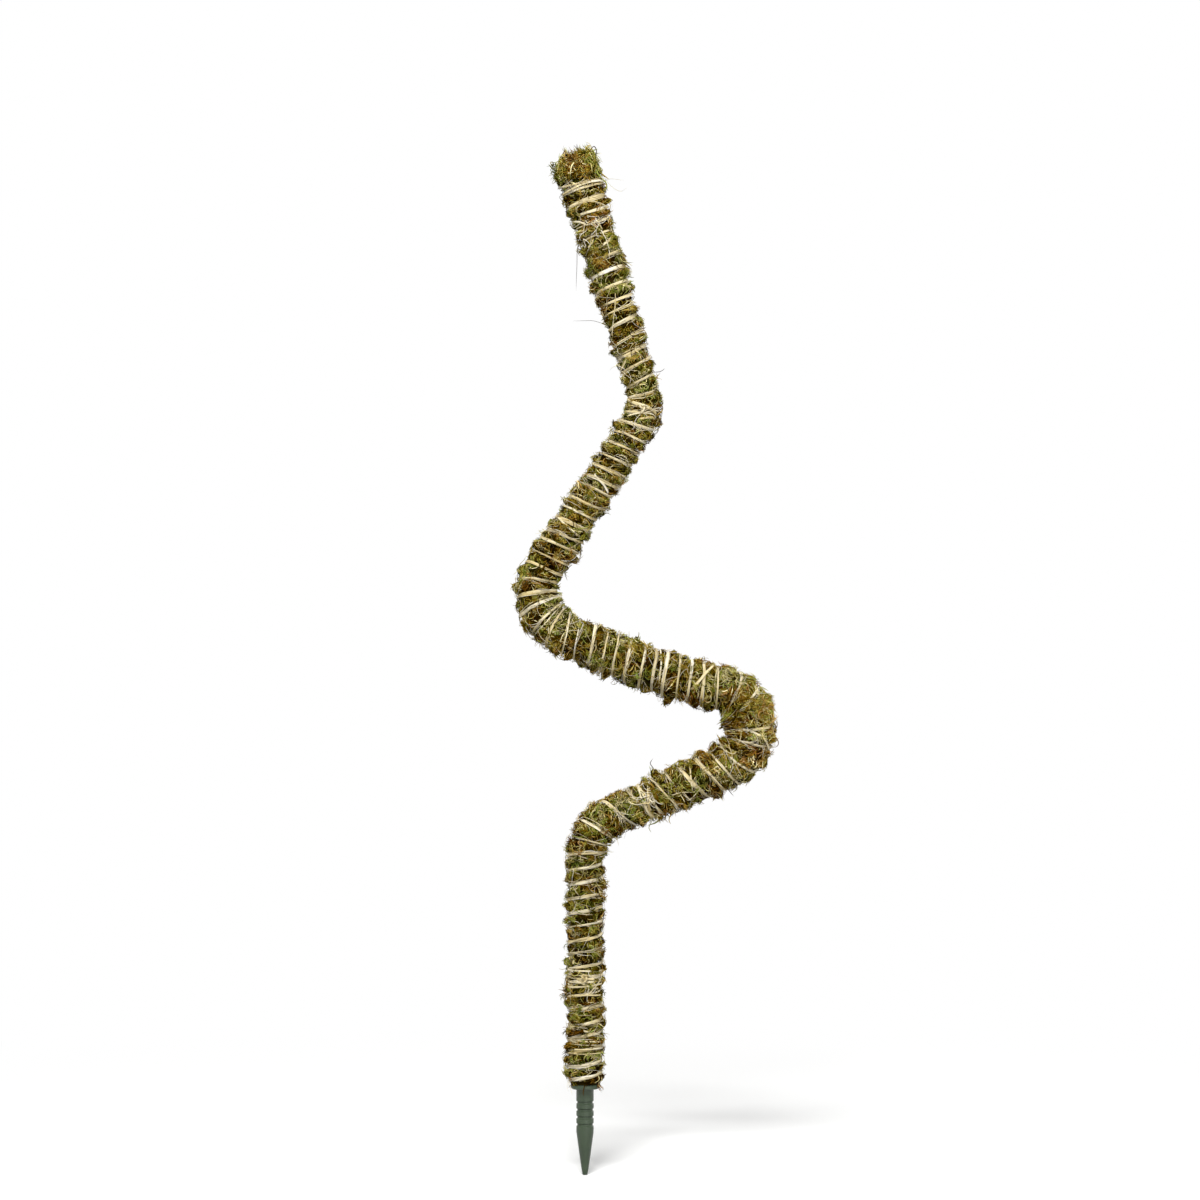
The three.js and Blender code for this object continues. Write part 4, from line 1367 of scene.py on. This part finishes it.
def make_windings(rng):
    made = {}
    middles = raffia_distance(np.arange(TURN_COUNT) + 0.5)
    for arm in ARMS:
        mine = np.flatnonzero((middles >= arm["start"]) & (middles < arm["end"]))
        strays = int((arm["end"] - arm["start"]) / STRAY_STRIP_SPACING)
        span = mine[0], mine[-1] + 1
        bands = 2 * len(mine) + strays
        ribbons = [winding_ribbon(rng, *span, 0, bands), split_ribbon(rng, *span, len(mine), bands)]
        ribbons += [stray_strip(rng, arm, 2 * len(mine) + stray, bands) for stray in range(strays)]
        piece = ribbon_piece(f"raffia_winding_{arm['name']}", ribbons)
        made[arm["name"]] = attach(piece, arm["bodies"][0])
    for zone in HINGES:
        mine = np.flatnonzero((middles >= zone["start"]) & (middles < zone["end"]))
        for number, turn in enumerate(mine):
            name = f"raffia_loop_{zone['name']}_{number + 1}"
            span = turn, turn + 1
            piece = ribbon_piece(name, [winding_ribbon(rng, *span, 0, 2), split_ribbon(rng, *span, 1, 2)])
            carry_loop(piece)
            made[f"{zone['name']}_{number + 1}"] = piece
    return made


# Single strips that cross the binding where the photo shows them: width, then (distance, angle) along each

CROSSING_STRIPS = {
    "tip": [
        (0.9, [(532.6, -3.4), (531.9, -2.6), (530.9, -1.7), (529.8, -1.1)]),
        (1.0, [(528.4, -3.0), (529.0, -2.4), (530.2, -1.3), (529.9, -0.6), (529.0, 0.1)]),
        (0.55, [(522.4, -1.6), (520, -1.0), (517.4, -0.3)]),
        (0.4, [(480, -1.45), (471.4, -1.79), (465.9, -2.14), (453.5, -2.9)]),
        (0.55, [(456, -1.03), (451, -1.35), (449, -1.24), (445, -1.19)]),
        (0.9, [(516, -3.0), (514.4, -2.3), (512.4, -1.95)]),
        (0.5, [(515.1, -2.35), (511.8, -1.91), (512.0, -1.57), (511.7, -0.99), (513, -0.5)]),
        (0.35, [(513.4, -1.9), (511.2, -1.62), (512.6, -1.2), (511.6, -0.8)]),
        (0.4, [(513.7, -2.02), (511.5, -2.06), (508.9, -2.25)]),
        (0.4, [(512.6, -0.9), (511.2, -0.71), (505.7, -0.55), (503.7, -0.77), (501.1, -1.26)]),
        (0.4, [(512.4, -1.55), (509.6, -1.5), (507.6, -1.28)]),
        (0.4, [(512.6, -1.34), (510.4, -1.26), (507.6, -1.15)]),
        (0.45, [(507.8, -1.25), (505.8, -1.21), (502.0, -1.12), (494, -1.22)]),
        (0.6, [(501.6, -2.25), (502.4, -2.1), (503.4, -1.9), (504.6, -1.84)]),
    ],
    "high_link": [
        (1.3, [(428.6, -3.0), (426.1, -2.23), (424.4, -1.31), (421.6, -0.4)]),
        (0.7, [(417.4, -2.5), (420.6, -1.85), (422, -1.1), (420.6, -0.3)]),
        (1.0, [(418.2, -1.7), (420.4, -1.1), (420.6, -0.5)]),
    ],
    "middle_arm": [
        (1.2, [(238, -1.95), (234, -1.15), (229.6, -0.3)]),
        (0.35, [(309, -1.65), (305, -2.06), (298.3, -2.54), (293, -2.95)]),
    ],
    "right_link_a": [
        (1.05, [(199.7, -2.2), (198.3, -1.67), (196.2, -1.13), (194.3, -0.74), (192.2, -0.5)]),
        (0.3, [(200, -2.95), (195.1, -2.55), (191.6, -2.3)]),
        (0.3, [(198.6, -2.1), (190.8, -2.02), (187.4, -1.98)]),
    ],
    "lower_arm": [
        (0.45, [(148.3, -1.39), (153.8, -1.32), (159.8, -1.07)]),
        (0.45, [(154, -0.84), (158, -0.95), (162, -1.11)]),
        (0.3, [(185.4, -2.6), (182.5, -1.97), (181, -1.64), (180.6, -0.6)]),
        (0.35, [(185.4, -1.92), (182.5, -1.97), (176.6, -2.65)]),
        (1.0, [(142.6, -2.8), (139, -1.9), (136.4, -1.0), (136.8, -0.4)]),
        (0.9, [(137, -2.9), (135.6, -2.0), (135.4, -1.2), (136.4, -0.5)]),
        (0.6, [(141, -2.6), (140, -1.9), (136, -1.5)]),
    ],
    "foot": [
        (0.7, [(43.7, -0.2), (39, -0.75), (33.1, -1.46)]),
        (0.8, [(36.6, -2.9), (37.4, -1.6), (38.6, -0.2)]),
        (0.8, [(32.4, -2.8), (33.4, -1.6), (33, -0.3)]),
    ],
}


def crossing_strip(rng, width, places, band, bands):
    share = np.linspace(0, 1, CROSSING_STEPS)
    distance, angle = smooth_route(places, CROSSING_STEPS).T
    height = CROSSING_HEIGHT - dive(share, 1.7, 0.84)
    widths = np.full(CROSSING_STEPS, width)
    return laid_ribbon(rng, distance, angle, height, widths, CROSSING_THICKNESS, band, bands)


def make_crossing_strips(rng):
    for body, strips in CROSSING_STRIPS.items():
        bands = len(strips)
        ribbons = [crossing_strip(rng, *strip, band, bands) for band, strip in enumerate(strips)]
        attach(ribbon_piece(f"raffia_crossings_{body}", ribbons), body)


# Ties: several strips wound close together, some crossing, and knots with loose ends

TIES = {  # where it starts, its body, whether it is knotted, its strips, and the most turns of each
    "foot": (5, "foot", False, 3, 2.0),
    "stem": (38, "foot", True, 3, 2.0),
    "low": (ends[1] + 14, "lower_arm", True, 2, 2.0),
    "high": (hinge_places[7] + 2.4, "high_link", True, 1, 1.2),
    "crown": (TOP - CROWN_TIE_BELOW_TOP, "tip", False, 1, 1.2),
}
KNOT_LOBE = 0.5
KNOT_LIFT = 0.8
KNOT_OPENING = 0.4
KNOT_STEPS = 64
KNOT_HEIGHT = 1.3  # over the sleeve
KNOT_WIDTHS = [0, 0.12, 0.5, 0.88, 1], [0.3, 0.65, 0.75, 0.65, 0.3]  # share of its length, width
TAIL_STEPS = 14
TAIL_LENGTHS = (2.5, 4.5)


def tie_strip(rng, middle, most_turns, band, bands):
    """One or two loose turns about a place along the pole, from the back."""
    turn_total = rng.uniform(1.1, most_turns)
    turn = np.linspace(0, turn_total, int(turn_total * RAFFIA_STEPS) + 1)
    knots = rng.normal(size=int(3 * turn_total) + 3)
    rise = rng.normal(0, 2.0) * (turn / turn_total - 0.5)
    distance = middle + rise + 0.35 * np.interp(3 * turn, np.arange(len(knots)), knots)
    angle = BACK + rng.normal(0, 0.3) + FULL_TURN * turn
    width = rng.uniform(0.5, 1.0)
    height = rng.uniform(0.2, 0.5)
    widths = width * (1 + 0.15 * np.interp(3 * turn, np.arange(len(knots)), knots[::-1]))
    widths = np.clip(widths, 0.4, 2.2)
    return laid_ribbon(rng, distance, angle, height, widths, RAFFIA_THICKNESS, band, bands)


def knot_strip(rng, centre, across, up, out, band, bands):
    """An overhand knot with its two ends drawn out and left loose."""
    share = np.linspace(KNOT_OPENING, FULL_TURN - KNOT_OPENING, KNOT_STEPS) + math.pi
    flat = KNOT_LOBE * (np.sin(share) + 2 * np.sin(2 * share))
    high = KNOT_LOBE * (np.cos(share) - 2 * np.cos(2 * share))
    lift = -KNOT_LIFT * np.sin(3 * share)
    core = np.stack([flat, high, lift], 1)
    ends_out = []
    for at, before in ((core[0], core[1]), (core[-1], core[-2])):
        way = unit(at - before)
        side = rng.normal(0, 0.9, 3)
        steps = np.linspace(0, 1, TAIL_STEPS)[1:, None]
        reach = rng.uniform(*TAIL_LENGTHS)
        tail = at + way * reach * steps + side * reach * 0.6 * steps ** 2
        tail[:, 2] = np.linspace(at[2], -1.0, len(tail)) + 0.8 * np.sin(np.linspace(0, math.pi, len(tail)))
        ends_out.append(tail)
    local = np.concatenate([ends_out[0][::-1], core, ends_out[1]])
    points = centre + local[:, :1] * across + local[:, 1:2] * up + local[:, 2:] * out
    width = np.interp(np.linspace(0, 1, len(points)), *KNOT_WIDTHS)
    facing = np.repeat(out[None], len(points), 0)
    return ribbon_mesh(rng, points, facing, width, KNOT_THICKNESS, band, bands)


def make_ties(rng):
    for name, (at, body, is_knotted, count, most_turns) in TIES.items():
        middles = at + TIE_HEIGHT * (np.arange(count) + 0.5) / count
        strips = [
            tie_strip(rng, middle, most_turns, 2 * number, 2 * count) for number, middle in enumerate(middles)
        ]
        piece = ribbon_piece(f"{name}_tie_strips", strips)
        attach(piece, body)
        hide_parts(f"{name}_tie")
        if not is_knotted:
            continue
        middle = at + TIE_HEIGHT / 2
        out = outward(middle, FRONT)
        up = upward(middle)
        centre = place(np.array(middle), FRONT, sleeve_radius(middle) + KNOT_HEIGHT)
        strip = knot_strip(rng, centre, np.cross(up, out), up, out, 0, 3)
        knot = ribbon_piece(f"{name}_knot_strip", [strip])
        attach(knot, body)
        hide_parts(f"{name}_knot")


# Fine pale fibres that have come away from the raffia, spread about and in a few tangles

FRAYED_FIBRES = 500
PEELED_FIBRES = 1500
TANGLES = [  # distance, angle and number of fibres
    (511, FRONT + 0.1, 16), (139, FRONT, 14), (195, FRONT, 3), (420, FRONT + 0.5, 4), (40, FRONT, 6),
]


def binding_roots(rng, count, spread):
    """Places close to the binding, all along it."""
    turn = rng.uniform(0.3, TURN_COUNT - 0.3, count)
    return raffia_distance(turn) + rng.normal(0, spread, count), BACK + FULL_TURN * turn


def frayed_fibres(rng):
    roots = binding_roots(rng, FRAYED_FIBRES, 0.8)
    return lying_strands(rng, STRAW_LAYERS["frayed"], *roots, random_ways(rng, FRAYED_FIBRES))


def tangled_fibres(rng):
    distance = np.concatenate([rng.normal(at, 2.6, count) for at, _, count in TANGLES])
    angle = np.concatenate([rng.normal(at, 0.45, count) for _, at, count in TANGLES])
    hanging = math.pi + rng.normal(0, 0.9, len(distance))
    return lying_strands(rng, STRAW_LAYERS["tangled"], distance, angle, hanging)


def peeled_fibres(rng):
    roots = binding_roots(rng, PEELED_FIBRES, 0.55)
    along_strip = math.pi / 2 + rng.normal(-0.1, 0.16, PEELED_FIBRES)
    return lying_strands(rng, STRAW_LAYERS["peeled"], *roots, along_strip)


# Ground spike: a smooth turned piece with a rounded tip, grip rings and a socket for the wire

SPIKE_SIDES = 64
SPIKE_EDGE = 0.3
COLLAR_EDGE = 0.4
GRIP_RINGS = 4
GRIP_FIRST = 3.2  # over the taper
GRIP_SPACING = 3.4
GRIP_DEPTH = 0.45
GRIP_HALF_WIDTH = 0.7


def lathe_piece(name, profile, sides, material, sharp_deg):
    angle = np.arange(sides + 1) * FULL_TURN / sides
    radius, height = np.array(profile).T
    rings = np.stack([
        radius[:, None] * np.cos(angle),
        radius[:, None] * np.sin(angle),
        np.repeat(height[:, None], sides + 1, axis=1),
    ], -1)
    index = np.arange(rings.shape[0] * (sides + 1)).reshape(rings.shape[:2])
    looped = index.copy()
    looped[:, -1] = index[:, 0]
    maps = {"OFBake": grid_map(*index.shape)[grid_faces(index)]}
    return make_piece(name, rings.reshape(-1, 3), grid_faces(looped), maps, material, sharp_deg)


def make_spike():
    tip, shank, collar = SPIKE_TIP_DIAMETER / 2, SPIKE_DIAMETER / 2, COLLAR_DIAMETER / 2
    top = -MOSS_BELOW_GROUND - FIT_GAP
    bore = (WIRE_DIAMETER / 2 + FIT_GAP) / math.cos(math.pi / 8)
    foot = -SPIKE_DEPTH
    taper_top = foot + SPIKE_TAPER_LENGTH
    under = top - COLLAR_HEIGHT
    rise = SPIKE_TAPER_LENGTH - SPIKE_EDGE
    profile = [(0, foot), (tip * 0.8, foot), (tip, foot + SPIKE_EDGE)]
    for share in np.linspace(0.1, 1, 10):
        profile.append((tip + (shank - tip) * share ** 0.9, foot + SPIKE_EDGE + rise * share))
    half = GRIP_HALF_WIDTH
    groove = shank - GRIP_DEPTH
    for ring in range(GRIP_RINGS):
        level = taper_top + GRIP_FIRST + GRIP_SPACING * ring
        profile += [(shank, level - half), (groove, level - half / 2)]
        profile += [(groove, level + half / 2), (shank, level + half)]
    edge = COLLAR_EDGE
    profile += [
        (shank, under - 0.6), (shank + 0.5, under), (collar - edge, under), (collar, under + edge),
        (collar, top - edge), (collar - edge, top), (bore + SPIKE_EDGE, top), (bore, top - SPIKE_EDGE),
        (bore, top - SPIKE_SOCKET_DEPTH), (0, top - SPIKE_SOCKET_DEPTH),
    ]
    spike = lathe_piece("ground_spike_moulding", profile, SPIKE_SIDES, PLASTIC, 40)
    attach(spike, "foot")
    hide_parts("ground_spike")


# Which finished pieces stand for which solids

BEND_NODES = {
    "low_bend": "low_bend_1",
    "right_bend_a": "right_bend_1",
    "right_bend_b": "right_bend_2",
    "left_bend": "left_bend_1",
    "high_bend": "high_bend_1",
}


def stand_for():
    for arm in ARMS:
        name = arm["name"]
        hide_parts(f"moss_{name}")
        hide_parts(f"raffia_{name}")
    for node, zone in BEND_NODES.items():
        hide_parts(f"moss_{node}")
        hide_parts(f"raffia_{node}")


def finish_core():
    for name, node in frame["nodes"].items():
        if name.startswith("wire_"):
            material = PLASTIC if name == "wire_cap" else WIRE
        elif name.startswith("packing_"):
            material = COIR
        else:
            continue
        node.data.materials.clear()
        node.data.materials.append(material)


# Stage, light and camera

FLOOR_LEVEL = -SPIKE_DEPTH
FLOOR_RADIUS = 6.0  # metres, as are the other sizes of the stage
FLOOR_SIDES = 96
FLOOR_FADE = (0.12, 0.6)  # the floor the camera sees turns to plain white between these distances
CAMERA_PLACE = (6.9, -1670, 214.4)
CAMERA_LENS = 108.9
CAMERA_SENSOR = 36
LIGHT_FROM_BELOW = 0.15
LIGHT_FROM_ABOVE = 0.55
LIGHT_AIM = (0, 0, 0.2)
SOFTBOXES = {  # place, size, watts
    "key_softbox": ((-0.15, -1.3, 1.5), 0.5, 34.5),
    "fill_softbox": ((0.6, -1.5, 0.4), 0.9, 8.5),
    "back_softbox": ((0.5, 1.5, 1.2), 0.9, 7),
}


def make_floor():
    bpy.ops.mesh.primitive_circle_add(
        vertices=FLOOR_SIDES, radius=FLOOR_RADIUS, fill_type="NGON", location=(0, 0, FLOOR_LEVEL * MM),
    )
    floor = bpy.context.object
    floor.name = "floor"
    material, tree, shader = new_material("pale_floor")
    looks = {"Base Color": (0.93, 0.93, 0.92, 1), "Roughness": 0.8, "Specular IOR Level": 0.1}
    set_inputs(tree, shader, looks)
    where = add_node(tree, "ShaderNodeTexCoord", {})["Object"]
    away = add_node(tree, "ShaderNodeVectorMath", {0: where}, operation="LENGTH")["Value"]
    fade = add_range(tree, away, 0.0, 1.0, *FLOOR_FADE, interpolation_type="SMOOTHSTEP")
    seen = add_node(tree, "ShaderNodeLightPath", {})["Is Camera Ray"]
    mix = add_node(tree, "ShaderNodeMixShader", {
        "Fac": add_math(tree, "MULTIPLY", fade, seen),
        1: shader.outputs["BSDF"],
        2: add_node(tree, "ShaderNodeEmission", {})["Emission"],
    })
    set_inputs(tree, tree.nodes["Material Output"], {"Surface": mix["Shader"]})
    floor.data.materials.append(material)
    floor.visible_diffuse = False


def make_world():
    """White where it is seen, and a softer light from above than from below elsewhere."""
    world = bpy.data.worlds.new("studio")
    bpy.context.scene.world = world
    world.use_nodes = True
    tree = world.node_tree
    path = add_node(tree, "ShaderNodeLightPath", {})
    seen = add_math(tree, "MAXIMUM", path["Is Camera Ray"], path["Is Glossy Ray"])
    seen = add_math(tree, "MAXIMUM", seen, path["Is Transmission Ray"])
    way = add_node(tree, "ShaderNodeTexCoord", {})["Generated"]
    height = add_node(tree, "ShaderNodeSeparateXYZ", {"Vector": way})["Z"]
    sky = add_range(tree, height, LIGHT_FROM_BELOW, LIGHT_FROM_ABOVE, start=-1.0)
    strength = add_range(tree, seen, sky, 1.0)
    set_inputs(tree, tree.nodes["Background"], {"Color": (1, 1, 1, 1), "Strength": strength})


def add_object(name, data, position):
    thing = bpy.data.objects.new(name, data)
    bpy.context.scene.collection.objects.link(thing)
    thing.location = position
    return thing


def add_softbox(name, position, size, watts):
    light = bpy.data.lights.new(name, "AREA")
    light.shape = "SQUARE"
    light.size = size
    light.energy = watts
    aim = Vector(LIGHT_AIM) - Vector(position)
    add_object(name, light, position).rotation_euler = aim.to_track_quat("-Z", "Y").to_euler()


def make_camera():
    data = bpy.data.cameras.new("photo_view")
    data.lens = CAMERA_LENS
    data.sensor_width = CAMERA_SENSOR
    camera = add_object("photo_view", data, Vector(CAMERA_PLACE) * MM)
    camera.rotation_euler = (math.pi / 2, 0, 0)
    bpy.context.scene.camera = camera


bpy.context.scene.view_settings.view_transform = "Standard"
make_camera()
make_world()
make_floor()
for softbox_name, softbox in SOFTBOXES.items():
    add_softbox(softbox_name, *softbox)

random = np.random.default_rng(SEED)
moss_bodies = make_bodies()
sprigs = spread_strands(random, "sprigs")
moss_groups = [
    spread_strands(random, "mat"),
    tuft_strands(random),
    spread_strands(random, "curls"),
    spread_strands(random, "dark_curls"),
    sprigs,
    sprig_barbs(random, sprigs),
    flyaway_strands(random),
    thatch_strands(random),
]
make_fibres(moss_groups, "moss_strands", MOSS_FIBRE)
make_crown_body()
make_crown_tuft(np.random.default_rng(SEED + 21))
make_loose_hairs()
windings = make_windings(np.random.default_rng(SEED + 22))
make_crossing_strips(np.random.default_rng(SEED + 23))
make_ties(np.random.default_rng(SEED + 24))
straw_random = np.random.default_rng(SEED + 25)
straw_groups = [frayed_fibres(straw_random), tangled_fibres(straw_random), peeled_fibres(straw_random)]
make_fibres(straw_groups, "raffia_fibres", STRAW_FIBRE)
make_spike()
stand_for()
finish_core()
